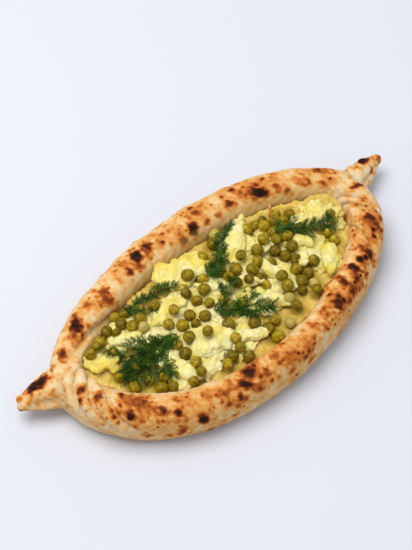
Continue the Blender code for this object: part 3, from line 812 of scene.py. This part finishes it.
wall_degrees = np.arange(720) * 0.5
wall = outline(np.radians(wall_degrees), *INNER_EDGE)
wall_inward = wall - outline(np.radians(wall_degrees), *OUTER_EDGE)
wall_inward /= np.linalg.norm(wall_inward, axis=1)[:, None]
for _ in range(80):
    push = np.zeros_like(pea_spots)
    for k in range(len(pea_spots)):
        gap = pea_spots[k] - pea_spots
        reach = np.linalg.norm(gap, axis=1) + 1e-9
        wanted = PEA_SQUEEZE * (pea_radii[k] + pea_radii)
        close = (reach < wanted) & (np.arange(len(pea_spots)) != k)
        push[k] = (gap[close] / reach[close, None] * ((wanted - reach)[close, None] * 0.4)).sum(0)
        nearest_wall = int(np.argmin(np.linalg.norm(wall - pea_spots[k], axis=1)))
        room = float((pea_spots[k] - wall[nearest_wall]) @ wall_inward[nearest_wall]) - 0.6 * pea_radii[k]
        push[k] += wall_inward[nearest_wall] * max(0.0, -room)
    push[:len(packed_peas)] = 0.0
    pea_spots += push
print("peas:", len(pea_spots), "of which packed:", len(packed_peas))

# %% [markdown]
# The bed of mash is made like the crust, as a ball whose lower rows follow the rim's inner wall. It
# touches the near wall. On the far side it has shrunk from the lip, which leaves a dark line there. A
# remesh gives even faces, and waves of three sizes make it lumpy and granular, as pressed potato is.

# %% The bed of mash
MASH_COLUMNS, MASH_RINGS = 320, 60
MASH_LEVEL = 24.0 * MM
MASH_CROWN = 1.0 * MM
MASH_VOXEL = 0.85 * MM
WALL_LEVELS = np.array((7.8, 11.0, 15.2, 19.0, 22.0, 24.0)) * MM
mash_degrees = np.arange(MASH_COLUMNS) * 360.0 / MASH_COLUMNS
shrunk = ramp(mash_degrees, 8.0, 34.0) * (1.0 - ramp(mash_degrees, 148.0, 172.0))


def mash_place(column, row):
    station = mash_degrees[column]
    level = WALL_LEVELS[np.clip(row - 1, 0, len(WALL_LEVELS) - 1)]
    share = (level - RIM_WAIST) / (RIM_HEIGHT - RIM_WAIST)
    roll = 180.0 - np.degrees(np.arcsin(signed_power(share, RIM_FULLNESS / 2.0)))
    place = rim_surface(station, roll)[0]
    t = np.radians(station)
    inward = outline(t, *INNER_EDGE) - outline(t, *OUTER_EDGE)
    inward /= np.linalg.norm(inward, axis=1)[:, None]
    place[:, :2] += inward * ((1.9 * shrunk[column] - 0.5) * MM)[:, None]
    ring = np.clip((row - len(WALL_LEVELS)) / MASH_RINGS, 0.0, 1.0)
    ring = np.where(row == 0, 1.0, ring)
    to_hub = HUB - place[:, :2]
    place[:, :2] += to_hub * ring[:, None]
    from_wall = np.linalg.norm(to_hub, axis=1) * ring
    rounded = np.exp(-((from_wall / (2.4 * MM)) ** 2)) * (0.3 + 1.9 * shrunk[column]) * MM
    place[:, 2] = np.where((row > len(WALL_LEVELS)), MASH_LEVEL + MASH_CROWN * ramp(ring, 0.0, 0.5), level)
    place[:, 2] -= np.where(row >= len(WALL_LEVELS), rounded, 0.0)
    place[row == 0, 2] = WALL_LEVELS[0]
    return place


mash = shaped_ball("potato_mash", MASH_COLUMNS, MASH_RINGS + len(WALL_LEVELS), mash_place)
weld = mash.modifiers.new("weld", "REMESH")
weld.mode = "VOXEL"
weld.voxel_size = MASH_VOXEL
soften = mash.modifiers.new("soften", "SMOOTH")
soften.factor = 0.5
soften.iterations = 2
apply_modifiers(mash)

bed = points_of(mash)
from_pea = np.full(len(bed), 1.0)
for spot, radius in zip(pea_spots, pea_radii):
    from_pea = np.minimum(from_pea, np.linalg.norm(bed[:, :2] - spot, axis=1) - radius)
on_top = ramp(bed[:, 2], 19.0 * MM, 22.5 * MM)
lumps = 0.60 * waves(bed, 13.0 * MM, 41) + 0.52 * waves(bed, 4.4 * MM, 42) + 0.30 * waves(bed, 1.9 * MM, 43)
sunk = -0.9 * (1.0 - ramp(from_pea, -1.0 * MM, 2.2 * MM))
move_points(mash, bed + normals_of(mash) * ((lumps + sunk) * on_top * MM)[:, None])
# Painted shade: within 5 mm of each pea the mash is darkened towards olive, where the peas shade the bed.
soaked = 1.0 - ramp(from_pea, 0.0, 5.0 * MM)
edge_wet = ramp(np.abs(waves(bed, 30.0 * MM, 44)), 0.1, 0.9)
keep_values(mash, "soaked", np.clip(0.75 * soaked + 0.35 * edge_wet, 0.0, 1.0))
print("mash:", len(bed), "points")

# %% [markdown]
# The mash is pale and moist, between yellow and beige. Round the peas it is darkened to olive as painted
# shade, and broad damp patches darken it a little too. Fine grains and small dark pits break up the
# colour, and its gloss is uneven, as wet food is.

# %% Mash look
look, tree, shader, bumps = new_look(
    "moist_mash", 210.0, 1100.0, 0.5, Specular_Ior_Level=0.13, Subsurface_Weight=0.12,
    Subsurface_Scale=0.004)
soaked = value_of(tree, "soaked")
place = node(tree, "ShaderNodeTexCoord").outputs["Object"]
grit = node(tree, "ShaderNodeTexVoronoi", {"Vector": place, "Scale": 420.0}).outputs["Distance"]
dry = colour_ramp(tree, bumps["Coarse"], (
    (0.30, (0.430, 0.278, 0.034)), (0.44, (0.615, 0.420, 0.080)), (0.58, (0.710, 0.515, 0.138)),
    (0.72, (0.530, 0.342, 0.042)),
))
# The darker olive colour, used for the painted shade round the peas and for the damp patches.
shade_and_damp_colour = colour_ramp(tree, bumps["Fine"], (
    (0.30, (0.215, 0.140, 0.007)), (0.50, (0.345, 0.232, 0.019)), (0.68, (0.475, 0.325, 0.045)),
))
share = maths(tree, "ADD", maths(tree, "MULTIPLY", soaked, 0.9),
              maths(tree, "MULTIPLY", maths(tree, "SUBTRACT", bumps["Fine"], 0.5), 0.8), clamp=True)
colour = mixed(tree, share, dry, shade_and_damp_colour)
pits = maths(tree, "MULTIPLY", maths(tree, "SUBTRACT", 0.22, grit, clamp=True), 2.2)
colour = mixed(tree, pits, colour, (0.258, 0.19, 0.034, 1.0))
tree.links.new(colour, shader.inputs["Base Color"])
gloss = node(tree, "ShaderNodeMapRange", {"Value": bumps["Fine"], 1: 0.35, 2: 0.65, 3: 0.30, 4: 0.58})
tree.links.new(gloss.outputs[0], shader.inputs["Roughness"])
bump(tree, shader, bumps["Height"], 0.8, 0.9 * MM)
finish_mesh(mash, look)
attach(mash, "root")
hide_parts("filling")


# %% [markdown]
# ## Scrambled egg
# The egg lies in torn curds, some as large as a thumb. Each one starts from its CAD solid, which gives
# its place and size. Its copy is merged and remeshed finely, its outline is torn by waves, and its
# top gets the folds of curd: rounded cells with narrow creases between them, as on a cauliflower.

# %% Curds from the egg nodes
EGG_VOXEL = 0.6 * MM
EGG_FOLD = 9.0 * MM
packed_eggs = sorted((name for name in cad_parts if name.startswith("egg_")), key=lambda n: int(n[4:]))


def curd_folds(points, cell, seed):
    """0 in the creases between rounded cells and 1 on their crowns."""
    low, high = points.min(0) - cell, points.max(0) + cell
    steps = [np.arange(low[axis], high[axis] + cell, cell) for axis in range(3)]
    seeds = np.stack(np.meshgrid(*steps, indexing="ij"), -1).reshape(-1, 3)
    seeds = seeds + np.random.default_rng(seed).uniform(-0.45, 0.45, seeds.shape) * cell
    tree_of_seeds = KDTree(len(seeds))
    for k, place in enumerate(seeds):
        tree_of_seeds.insert(place, k)
    tree_of_seeds.balance()
    between = np.array([(lambda two: two[1][2] - two[0][2])(tree_of_seeds.find_n(point, 2)) for point in points])
    return np.sqrt(np.clip(between / (0.75 * cell), 0.0, 1.0))


def shape_curd(curd, seed, tear, fold_depth):
    points = points_of(curd)
    middle = (points.max(0) + points.min(0)) / 2.0
    half = (points.max(0) - points.min(0)) / 2.0
    flat = points * (1.0, 1.0, 0.0)
    outward = (points - middle) * (1.0, 1.0, 0.0)
    reach = np.linalg.norm(outward / np.maximum(half, MM), axis=1)
    outward /= np.linalg.norm(outward, axis=1)[:, None] + 1e-9
    points = points + outward * (0.10 * reach * half[:2].min())[:, None]
    torn = (waves(flat, 8.0 * MM, seed) + 0.6 * waves(flat, 3.6 * MM, seed + 1)) * ramp(reach, 0.35, 0.95)
    points = points + outward * (torn * tear)[:, None]
    move_points(curd, points)
    warped = points + 0.9 * MM * np.stack([waves(points, 5.0 * MM, seed + k) for k in (5, 6, 7)], -1)
    crown = curd_folds(warped, EGG_FOLD, seed) * 0.75 + curd_folds(warped, EGG_FOLD * 0.42, seed + 9) * 0.25
    rise = (crown - 0.6) * fold_depth + (0.30 * waves(points, 7.0 * MM, seed + 2)
                                         + 0.14 * waves(points, 2.2 * MM, seed + 3)) * MM
    move_points(curd, points + normals_of(curd) * rise[:, None])
    return crown


egg_look, tree, shader, bumps = new_look(
    "soft_egg", 120.0, 900.0, 0.35, Specular_Ior_Level=0.25, Subsurface_Weight=0.25, Subsurface_Scale=0.005)
crown_value, yolk_value = value_of(tree, "crown"), value_of(tree, "yolk")
share = maths(tree, "ADD", yolk_value, maths(tree, "MULTIPLY", maths(tree, "SUBTRACT", bumps["Coarse"], 0.5), 0.6),
              clamp=True)
colour = colour_ramp(tree, share, (
    (0.0, (0.735, 0.675, 0.325)), (0.35, (0.730, 0.635, 0.200)), (0.65, (0.705, 0.565, 0.095)),
    (1.0, (0.630, 0.420, 0.025)),
))
# Partly painted shade and partly the colour of mash between torn curds: the creases between the cells of curd are
# darkened towards olive brown.
crease_shade_and_mash = maths(tree, "MULTIPLY", maths(tree, "SUBTRACT", 0.52, crown_value, clamp=True), 1.4)
colour = mixed(tree, crease_shade_and_mash, colour, (0.502, 0.38, 0.091, 1.0))
tree.links.new(colour, shader.inputs["Base Color"])
gloss = node(tree, "ShaderNodeMapRange", {"Value": bumps["Fine"], 1: 0.35, 2: 0.65, 3: 0.34, 4: 0.55})
tree.links.new(gloss.outputs[0], shader.inputs["Roughness"])
bump(tree, shader, bumps["Height"], 0.55, 0.7 * MM)

curds = []
for k, name in enumerate(packed_eggs):
    curd = bpy.data.objects.new("curd_" + name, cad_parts[name].data.copy())
    bpy.context.scene.collection.objects.link(curd)
    pick(curd)
    bpy.ops.object.mode_set(mode="EDIT")
    bpy.ops.mesh.select_all(action="SELECT")
    bpy.ops.mesh.remove_doubles(threshold=1e-5)
    bpy.ops.mesh.normals_make_consistent(inside=False)
    bpy.ops.object.mode_set(mode="OBJECT")
    weld = curd.modifiers.new("weld", "REMESH")
    weld.mode = "VOXEL"
    weld.voxel_size = EGG_VOXEL
    soften = curd.modifiers.new("soften", "SMOOTH")
    soften.factor = 0.6
    soften.iterations = 6
    apply_modifiers(curd)
    width = float(np.ptp(points_of(curd)[:, :2], axis=0).min())
    crown = shape_curd(curd, 100 + 20 * k, min(2.2 * MM, 0.12 * width), 1.4 * MM)
    places = points_of(curd)
    yolk = 0.34 + 0.30 * waves(places, 11.0 * MM, 300 + k) + (0.35 if name == "egg_13" else 0.0)
    keep_values(curd, "crown", crown)
    keep_values(curd, "yolk", np.clip(yolk, 0.0, 1.0))
    finish_mesh(curd, egg_look)
    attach(curd, "root")
    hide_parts(name)
    curds.append(curd)


# %% [markdown]
# Between the large curds and the peas the egg is broken into crumbs and strands that stick together.
# One small ball is copied many times with its own size and turn, and a remesh melts the copies into a
# torn network, which then gets the same folds as the large curds. The rim's edges stay free of it.

# %% A tool for many copies
def shape_of(piece):
    """The points and faces of a mesh; the object itself is removed."""
    shape = points_of(piece), [tuple(face.vertices) for face in piece.data.polygons]
    bpy.data.objects.remove(piece)
    return shape


def turned(draw, tilt=math.pi):
    """A turn about a random upright angle and a random tilt, as a matrix."""
    return np.array(Euler((draw.uniform(-tilt, tilt), draw.uniform(-tilt, tilt),
                           draw.uniform(0.0, 2 * math.pi))).to_matrix())


def joined_copies(name, copies):
    """One mesh of many copies, each given as (shape, matrix, place)."""
    points, faces, start = [], [], 0
    for (corners, sides), matrix, place in copies:
        points.append(corners @ np.asarray(matrix).T + place)
        faces.extend(tuple(corner + start for corner in side) for side in sides)
        start += len(corners)
    mesh = bpy.data.meshes.new(name)
    mesh.from_pydata(np.concatenate(points), [], faces)
    piece = bpy.data.objects.new(name, mesh)
    bpy.context.scene.collection.objects.link(piece)
    return piece


def seen_from_above(pieces):
    """A tree for finding the top of several pieces."""
    points, faces, start = [], [], 0
    for piece in pieces:
        points.append(points_of(piece))
        faces.extend(tuple(corner + start for corner in face.vertices) for face in piece.data.polygons)
        start += len(points[-1])
    tree_of_tops = BVHTree.FromPolygons([Vector(point) for point in np.concatenate(points)], faces)

    def top(x, y):
        hit = tree_of_tops.ray_cast(Vector((x, y, 0.1)), Vector((0.0, 0.0, -1.0)))[0]
        return hit.z if hit else MASH_LEVEL

    return top


# %% Crumbs and strands
# Middle of each torn area as a place on the filling, and its half length and half width in millimetres.
EGG_BEDS = (
    (-63, 40, 12, 5), (-52, 23, 9, 8), (-39, 36, 10, 6), (-23, 40, 14, 6), (-5, 23, 9, 9),
    (6, 7, 10, 7), (34, 36, 12, 7), (49, -1, 14, 7), (61, -11, 14, 7), (78, 32, 13, 5), (86, 7, 8, 11),
    (64, -44, 8, 12), (39, -17, 12, 6), (13, -38, 16, 10), (-7, -60, 10, 7), (-29, -44, 15, 14),
    (-43, -67, 8, 6), (-58, -54, 8, 9), (-56, -22, 7, 6), (-94, 40, 5, 4), (29, 68, 12, 9),
    (-12, 73, 16, 10), (-74, 36, 8, 5), (-34, 8, 12, 9), (-20, 2, 11, 10), (22, 16, 14, 9), (18, 42, 8, 8),
    (46, 22, 12, 9), (52, 44, 12, 8), (-62, 55, 14, 6), (-18, -72, 12, 6), (32, -30, 12, 7), (-48, -30, 9, 9),
)
BIT_AREA = 5.5
SMALL_BIT, LARGE_BIT = 2.2 * MM, 5.6 * MM
pick(None)
bpy.ops.mesh.primitive_ico_sphere_add(subdivisions=3, radius=1.0)
bit_shape = shape_of(bpy.context.object)
mash_top = seen_from_above([mash])
draw = np.random.default_rng(17)
bits = []
for along, across, half_length, half_width in EGG_BEDS:
    for _ in range(int(math.pi * half_length * half_width / BIT_AREA)):
        angle, reach = draw.uniform(0.0, 2 * math.pi), math.sqrt(draw.random())
        size, flat, long_side = draw.random(), draw.uniform(0.40, 0.62), draw.uniform(1.0, 1.8)
        turn = turned(draw, 0.30)
        offset = np.array((half_length * math.cos(angle), half_width * math.sin(angle))) * reach * MM
        x, y = on_filling(along, across) + offset
        radius = SMALL_BIT + (LARGE_BIT - SMALL_BIT) * size**1.5 * (1.0 - 0.5 * reach)
        from_peas = float(np.min(np.linalg.norm(pea_spots - (x, y), axis=1) / pea_radii))
        if from_peas > 0.35:
            matrix = turn @ np.diag((radius * long_side, radius, radius * flat))
            bits.append((bit_shape, matrix, np.array((x, y, mash_top(x, y) + 0.25 * radius))))
egg_bits = joined_copies("egg_crumbs", bits)
weld = egg_bits.modifiers.new("weld", "REMESH")
weld.mode = "VOXEL"
weld.voxel_size = EGG_VOXEL
soften = egg_bits.modifiers.new("soften", "SMOOTH")
soften.factor = 0.6
soften.iterations = 3
apply_modifiers(egg_bits)
print("crumbs:", len(bits), "in", len(egg_bits.data.vertices), "points")
places = points_of(egg_bits)
flat_places = places * (1.0, 1.0, 0.0)
sideways = np.stack([waves(flat_places, 5.0 * MM, 61), waves(flat_places, 5.0 * MM, 62), 0.0 * places[:, 0]], -1)
places = places + 1.1 * MM * sideways
move_points(egg_bits, places)
crown = curd_folds(places, EGG_FOLD * 0.7, 63)
lift = (crown - 0.60) * 1.0 + 0.34 * waves(places, 5.0 * MM, 64) + 0.08 * waves(places, 1.9 * MM, 65)
move_points(egg_bits, places + normals_of(egg_bits) * (lift * MM)[:, None])
keep_values(egg_bits, "crown", crown)
keep_values(egg_bits, "yolk", np.clip(0.22 + 0.28 * waves(places, 12.0 * MM, 66), 0.0, 1.0))
finish_mesh(egg_bits, egg_look)
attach(egg_bits, "root")

# %% [markdown]
# ## Peas
# A tinned pea is a soft, slightly squashed ball with a dimple where it hung in its pod, and many have a
# dent or a wrinkled skin. Four balls are shaped like that, and every pea is a turned copy of one of
# them. A pea sinks a little into what is under it. Two or three are covered with mash.

# %% Four kinds of pea
def pea_shape(stretch, wrinkle, dent, seed):
    pick(None)
    bpy.ops.mesh.primitive_uv_sphere_add(segments=24, ring_count=15, radius=1.0)
    corners, sides = shape_of(bpy.context.object)
    from_pole = np.arccos(np.clip(corners[:, 2], -1.0, 1.0))
    around = np.arctan2(corners[:, 1], corners[:, 0])
    size = 1.0 - 0.16 * np.exp(-((from_pole / 0.20) ** 2)) + 0.03 * np.exp(-(((from_pole - 0.42) / 0.16) ** 2))
    size += wrinkle * np.sin(7 * around + 3 * from_pole) * np.sin(from_pole) ** 2 * (0.5 + 0.5 * corners[:, 0])
    side = np.linalg.norm(corners - (0.80, 0.30, -0.52), axis=1)
    size -= dent * np.exp(-((side / 0.42) ** 2))
    size += 0.012 * waves(corners, 0.9, seed)
    return corners * size[:, None] * (1.0, 1.0, stretch), sides


PEA_SHAPES = [pea_shape(0.95, 0.012, 0.10, 71), pea_shape(0.91, 0.020, 0.16, 72),
              pea_shape(1.07, 0.034, 0.08, 73), pea_shape(0.97, 0.016, 0.24, 74)]
PEA_SINK = 0.42
filling_top = seen_from_above([mash, egg_bits] + curds)
draw = np.random.default_rng(29)
copies, tones, coats = [], [], []
for k, (spot, radius) in enumerate(zip(pea_spots, pea_radii)):
    kind, tone, lift = int(draw.integers(len(PEA_SHAPES))), draw.random(), draw.uniform(-0.5, 0.9) * MM
    matrix = turned(draw) * radius
    if k < len(packed_peas):
        low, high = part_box(packed_peas[k])
        height = (low.z + high.z) / 2.0
    else:
        round_it = [filling_top(spot[0] + 0.55 * radius * math.cos(a), spot[1] + 0.55 * radius * math.sin(a))
                    for a in np.arange(6) * math.pi / 3]
        height = 0.5 * filling_top(*spot) + 0.5 * float(np.mean(round_it)) + PEA_SINK * radius + lift
    copies.append((PEA_SHAPES[kind], matrix, np.array((*spot, height))))
    tones.extend([tone] * len(PEA_SHAPES[kind][0]))
    coats.extend([pea_coats[k]] * len(PEA_SHAPES[kind][0]))
peas = joined_copies("green_peas", copies)
keep_values(peas, "ripe", tones)
keep_values(peas, "coated", coats)

# %% [markdown]
# Tinned peas are olive rather than green, and no two are quite the same. Their skin is smooth and wet,
# with a faint mottle below it. Light goes a little way in, which softens their shaded side.

# %% Pea look
look, tree, shader, bumps = new_look(
    "pea_skin", 330.0, 1500.0, 0.4, Specular_Ior_Level=0.15, Subsurface_Weight=0.10, Subsurface_Scale=0.002)
ripe, coated = value_of(tree, "ripe"), value_of(tree, "coated")
share = maths(tree, "ADD", maths(tree, "MULTIPLY", ripe, 0.62),
              maths(tree, "MULTIPLY", maths(tree, "SUBTRACT", bumps["Coarse"], 0.37), 1.8), clamp=True)
colour = colour_ramp(tree, share, (
    (0.0, (0.088, 0.056, 0.0012)), (0.4, (0.180, 0.119, 0.0020)), (0.75, (0.290, 0.198, 0.0045)),
    (1.0, (0.440, 0.315, 0.016)),
))
mashed = maths(tree, "MULTIPLY", coated, maths(tree, "SUBTRACT", bumps["Fine"], 0.02, clamp=True))
colour = mixed(tree, mashed, colour, (0.629, 0.51, 0.145, 1.0))
tree.links.new(colour, shader.inputs["Base Color"])
gloss = node(tree, "ShaderNodeMapRange", {"Value": bumps["Fine"], 1: 0.35, 2: 0.65, 3: 0.10, 4: 0.28})
tree.links.new(gloss.outputs[0], shader.inputs["Roughness"])
bump(tree, shader, bumps["Height"], 0.40, 0.5 * MM)
finish_mesh(peas, look)
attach(peas, "root")
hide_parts("filling", *packed_peas)


# %% [markdown]
# Two shreds of browned dough have come off the lip. One is a thin strip that hangs from the far lip down
# to the filling, and one is a crumb on the near side. Both are one stretched, slightly bent ball.

# %% Shreds of crust
pick(None)
bpy.ops.mesh.primitive_uv_sphere_add(segments=24, ring_count=16, radius=1.0)
corners, sides = shape_of(bpy.context.object)
bent = corners + 0.25 * (corners[:, :1] ** 2) * (0.0, 0.6, 1.0) + 0.10 * waves(corners, 0.8, 77)[:, None]
foot = np.array((*on_filling(63.4, 79.0), MASH_LEVEL + 5.0 * MM))
tip_spot = on_filling(58.7, 67.0)
tip = np.array((*tip_spot, filling_top(*tip_spot) + 0.8 * MM))
forward = (tip - foot) / 2.0
sideways = np.cross(forward, (0.0, 0.0, 1.0))
sideways *= 0.8 * MM / np.linalg.norm(sideways)
upward = np.cross(sideways, forward)
upward *= 0.5 * MM / np.linalg.norm(upward)
strip = ((bent, sides), np.stack([forward, sideways, upward], 1), (foot + tip) / 2.0)
crumb_spot = on_filling(16.0, -89.0)
crumb = ((bent, sides), np.diag((1.9, 1.4, 0.8)) * MM, np.array((*crumb_spot, filling_top(*crumb_spot) + 0.3 * MM)))
shreds = joined_copies("crust_shreds", [strip, crumb])
keep_values(shreds, "browning_and_painted_shade", 0.44 + 0.12 * waves(points_of(shreds), 2.5 * MM, 78))
keep_values(shreds, "staining", np.zeros(len(shreds.data.vertices)))
finish_mesh(shreds, dough)
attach(shreds, "root")


# %% [markdown]
# ## Dill
# Fresh dill lies over the filling in fronds. A frond is a soft stalk with side branches on both sides,
# each branch is a feather of fine threads, and every thread is a tapering hair a few tenths of a
# millimetre thick. One feather is modelled from thin cones and copied along the stalks, with its own
# turn and size each time. A smoothed height map of the filling tells the fronds where to lie.

# %% A height map to lie on
MAP_STEP = 1.0 * MM
map_x = np.arange(-118.0, 118.0) * MM
map_y = np.arange(-56.0, 50.0) * MM
full_top = seen_from_above([crust, mash, egg_bits, peas] + curds)
relief = np.array([[full_top(x, y) for y in map_y] for x in map_x])
raised = relief.copy()
for shift_x in (-2, -1, 0, 1, 2):
    for shift_y in (-2, -1, 0, 1, 2):
        raised = np.maximum(raised, np.roll(np.roll(relief, shift_x, 0), shift_y, 1) - 0.0004 * math.hypot(shift_x, shift_y))
for _ in range(3):
    raised = (raised + np.roll(raised, 1, 0) + np.roll(raised, -1, 0) + np.roll(raised, 1, 1) + np.roll(raised, -1, 1)) / 5.0
print("relief of the filling, in mm:", round(relief.min() / MM, 1), "to", round(relief.max() / MM, 1))


def lie_on(x, y):
    """Height at which a sprig rests at this place."""
    column = int(np.clip(round((x - map_x[0]) / MAP_STEP), 0, len(map_x) - 1))
    row = int(np.clip(round((y - map_y[0]) / MAP_STEP), 0, len(map_y) - 1))
    return raised[column, row]


# %% One feather of threads
THREAD = 0.24 * MM


def hair(start, stop, thick, thin):
    """A tapering three-sided hair from one place to another, modelled from a cone."""
    start, stop = Vector(start), Vector(stop)
    pick(None)
    bpy.ops.mesh.primitive_cone_add(vertices=3, radius1=thick, radius2=thin, depth=(stop - start).length,
                                    location=(start + stop) / 2.0,
                                    rotation=(stop - start).to_track_quat("Z", "X").to_euler())
    return bpy.context.object


def feather(seed, pairs, length):
    """A flat branch along x, with forked side threads that get shorter towards its tip."""
    draw = np.random.default_rng(seed)
    hairs, here = [], Vector((0.0, 0.0, 0.0))
    for k in range(pairs):
        share = (k + 1.0) / pairs
        there = here + Vector((length / pairs, draw.uniform(-0.06, 0.06) * length, draw.uniform(-0.03, 0.05) * length))
        hairs.append(hair(here, there, THREAD * (1.35 - 0.7 * share), THREAD * (1.3 - 0.8 * share)))
        for side in (-1.0, 1.0):
            reach = length * (0.50 - 0.30 * share) * draw.uniform(0.8, 1.2)
            angle = side * draw.uniform(0.55, 0.95)
            rise = draw.uniform(-0.15, 0.30) * reach
            bend = there + Vector((math.cos(angle) * reach * 0.5, math.sin(angle) * reach * 0.5, rise * 0.5))
            tip = bend + Vector((math.cos(angle * 0.7) * reach * 0.6, math.sin(angle * 0.7) * reach * 0.6, rise * 0.4))
            fork = bend + Vector((math.cos(angle * 1.5) * reach * 0.45, math.sin(angle * 1.5) * reach * 0.45, rise))
            hairs.append(hair(there, bend, THREAD, THREAD * 0.8))
            hairs.append(hair(bend, tip, THREAD * 0.85, THREAD * 0.35))
            hairs.append(hair(bend, fork, THREAD * 0.75, THREAD * 0.35))
        here = there
    hairs.append(hair(here, here + Vector((length * 0.25, 0.0, 0.02 * length)), THREAD * 0.8, THREAD * 0.3))
    pick(hairs[0])
    for one in hairs:
        one.select_set(True)
    bpy.ops.object.join()
    bpy.ops.object.transform_apply(location=True, rotation=True, scale=True)
    return shape_of(bpy.context.object)


FEATHER_LENGTH = 6.5 * MM
feathers = [feather(seed, 4, FEATHER_LENGTH) for seed in (81, 82, 83)]
print("one feather:", len(feathers[0][1]), "faces")

# %% [markdown]
# Each frond is given by a few places that its stalk passes through, and by how long its branches are at
# the foot and at the tip. The stalk is a smooth line through them. Branches leave it on both sides in
# turn, leaning forwards, and some stand up a little, so that the sprig is a loose tuft and not flat.

# %% Fronds
# Places of the stalk on the filling, branch length at its foot and near its tip in mm, and layers.
FRONDS = (
    (((-2, 38), (10, 46), (14, 58), (20, 73), (29, 85), (34, 87)), 8.0, 5.0, 2),
    (((-2, 42), (6, 48), (10, 56)), 7.0, 5.0, 1),
    (((-57, 56), (-50, 71), (-41, 73), (-32, 66), (-22, 54)), 7.0, 4.0, 2),
    (((-55, 56), (-47, 52), (-42, 40)), 5.0, 3.5, 1),
    (((-45, -14), (-54, -4), (-63, 0), (-74, 0), (-84, -4)), 9.0, 6.0, 2),
    (((-52, -6), (-59, 4), (-70, 10), (-80, 15)), 8.0, 5.0, 1),
    (((-57, -24), (-66, -20), (-76, -18), (-87, -13)), 8.0, 6.0, 1),
    (((-52, -16), (-62, -12), (-74, -9), (-86, -8)), 8.0, 6.0, 1),
    (((-56, -36), (-65, -38), (-75, -34), (-84, -30)), 7.0, 5.0, 1),
    (((-61, -34), (-64, -46), (-62, -60)), 7.0, 4.0, 1),
    (((-61, 10), (-66, 22), (-75, 28)), 6.0, 3.0, 1),
    (((-77, 15), (-83, 26), (-87, 42)), 6.0, 3.5, 1),
    (((-5, 3), (0, 5), (7, 9)), 8.0, 6.0, 2),
    (((-15, -7), (-9, -15), (-3, -28), (0, -42), (3, -54)), 8.5, 6.5, 2),
    (((-3, -22), (4, -28), (13, -28)), 7.5, 5.0, 1),
    (((6, -38), (10, -48), (14, -60)), 7.5, 6.0, 2),
    (((50, 34), (56, 30), (63, 19), (71, 9), (78, -1), (84, -13)), 7.0, 5.0, 2),
    (((61, 23), (67, 32), (69, 40)), 5.0, 3.5, 1),
    (((61, 19), (65, 7), (67, -9)), 5.0, 3.5, 1),
)
BRANCH_GAP = 2.2 * MM
draw = np.random.default_rng(91)
sprigs, greens = [], []


def place_feather(foot, tip, roll_angle, tone):
    """Copies a feather so that it runs from one place to another."""
    forward = tip - foot
    length = np.linalg.norm(forward)
    forward = forward / length
    side = np.cross((0.0, 0.0, 1.0), forward)
    side /= np.linalg.norm(side) + 1e-9
    up = np.cross(forward, side)
    side, up = (math.cos(roll_angle) * side + math.sin(roll_angle) * up,
                math.cos(roll_angle) * up - math.sin(roll_angle) * side)
    scale = length / FEATHER_LENGTH
    matrix = np.stack([forward * scale, side * scale, up * scale], 1)
    shape = feathers[int(draw.integers(len(feathers)))]
    sprigs.append((shape, matrix, foot))
    greens.extend([tone] * len(shape[0]))


for stations, foot_length, tip_length, layers in FRONDS:
    knots = np.array([on_filling(*station) for station in stations])
    chords = np.concatenate([[0.0], np.cumsum(np.linalg.norm(np.diff(knots, axis=0), axis=1))])
    count = max(3, int(chords[-1] / BRANCH_GAP))
    line = np.linspace(0.0, chords[-1], count)
    track = np.stack([np.interp(line, chords, knots[:, axis]) for axis in (0, 1)], -1)
    heights = np.array([lie_on(x, y) for x, y in track]) + 0.8 * MM
    track = np.concatenate([track, np.convolve(np.pad(heights, 2, "edge"), np.ones(5) / 5, "valid")[:, None]], 1)
    for k in range(count - 1):
        step = track[k + 1] - track[k]
        place_feather(track[k], track[k] + step * 1.3, draw.uniform(0, 6.28), draw.uniform(0.3, 0.6))
        heading = math.atan2(step[1], step[0])
        share = k / (count - 1)
        for layer in range(layers):
            for side in (-1.0, 1.0):
                reach = (foot_length + (tip_length - foot_length) * share) * MM * draw.uniform(0.6, 1.1)
                angle = heading + side * draw.uniform(0.35, 1.05)
                foot = track[k] + (0.0, 0.0, draw.uniform(0.0, 1.0) * layer * MM)
                end = foot[:2] + reach * np.array((math.cos(angle), math.sin(angle)))
                rest = lie_on(*end) + draw.uniform(0.2, 1.4) * MM + layer * draw.uniform(0.2, 1.6) * MM
                place_feather(foot, np.array((*end, rest)), draw.uniform(-0.7, 0.7), draw.random())
dill = joined_copies("dill_fronds", sprigs)
keep_values(dill, "green", greens)
print("feathers of dill:", len(sprigs))

# %% [markdown]
# Dill is deep green, with a bluish cast in its older threads and a yellower green at some tips.

# %% Dill look
look, tree, shader, bumps = new_look("dill_green", 180.0, 900.0, 0.4, Specular_Ior_Level=0.08, Roughness=0.5)
share = maths(tree, "ADD", maths(tree, "MULTIPLY", value_of(tree, "green"), 0.7),
              maths(tree, "MULTIPLY", maths(tree, "SUBTRACT", bumps["Coarse"], 0.35), 1.0), clamp=True)
colour = colour_ramp(tree, share, (
    (0.0, (0.008, 0.029, 0.004)), (0.45, (0.028, 0.080, 0.008)), (0.8, (0.075, 0.150, 0.018)), (1.0, (0.175, 0.250, 0.050)),
))
tree.links.new(colour, shader.inputs["Base Color"])
finish_mesh(dill, look)
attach(dill, "root")
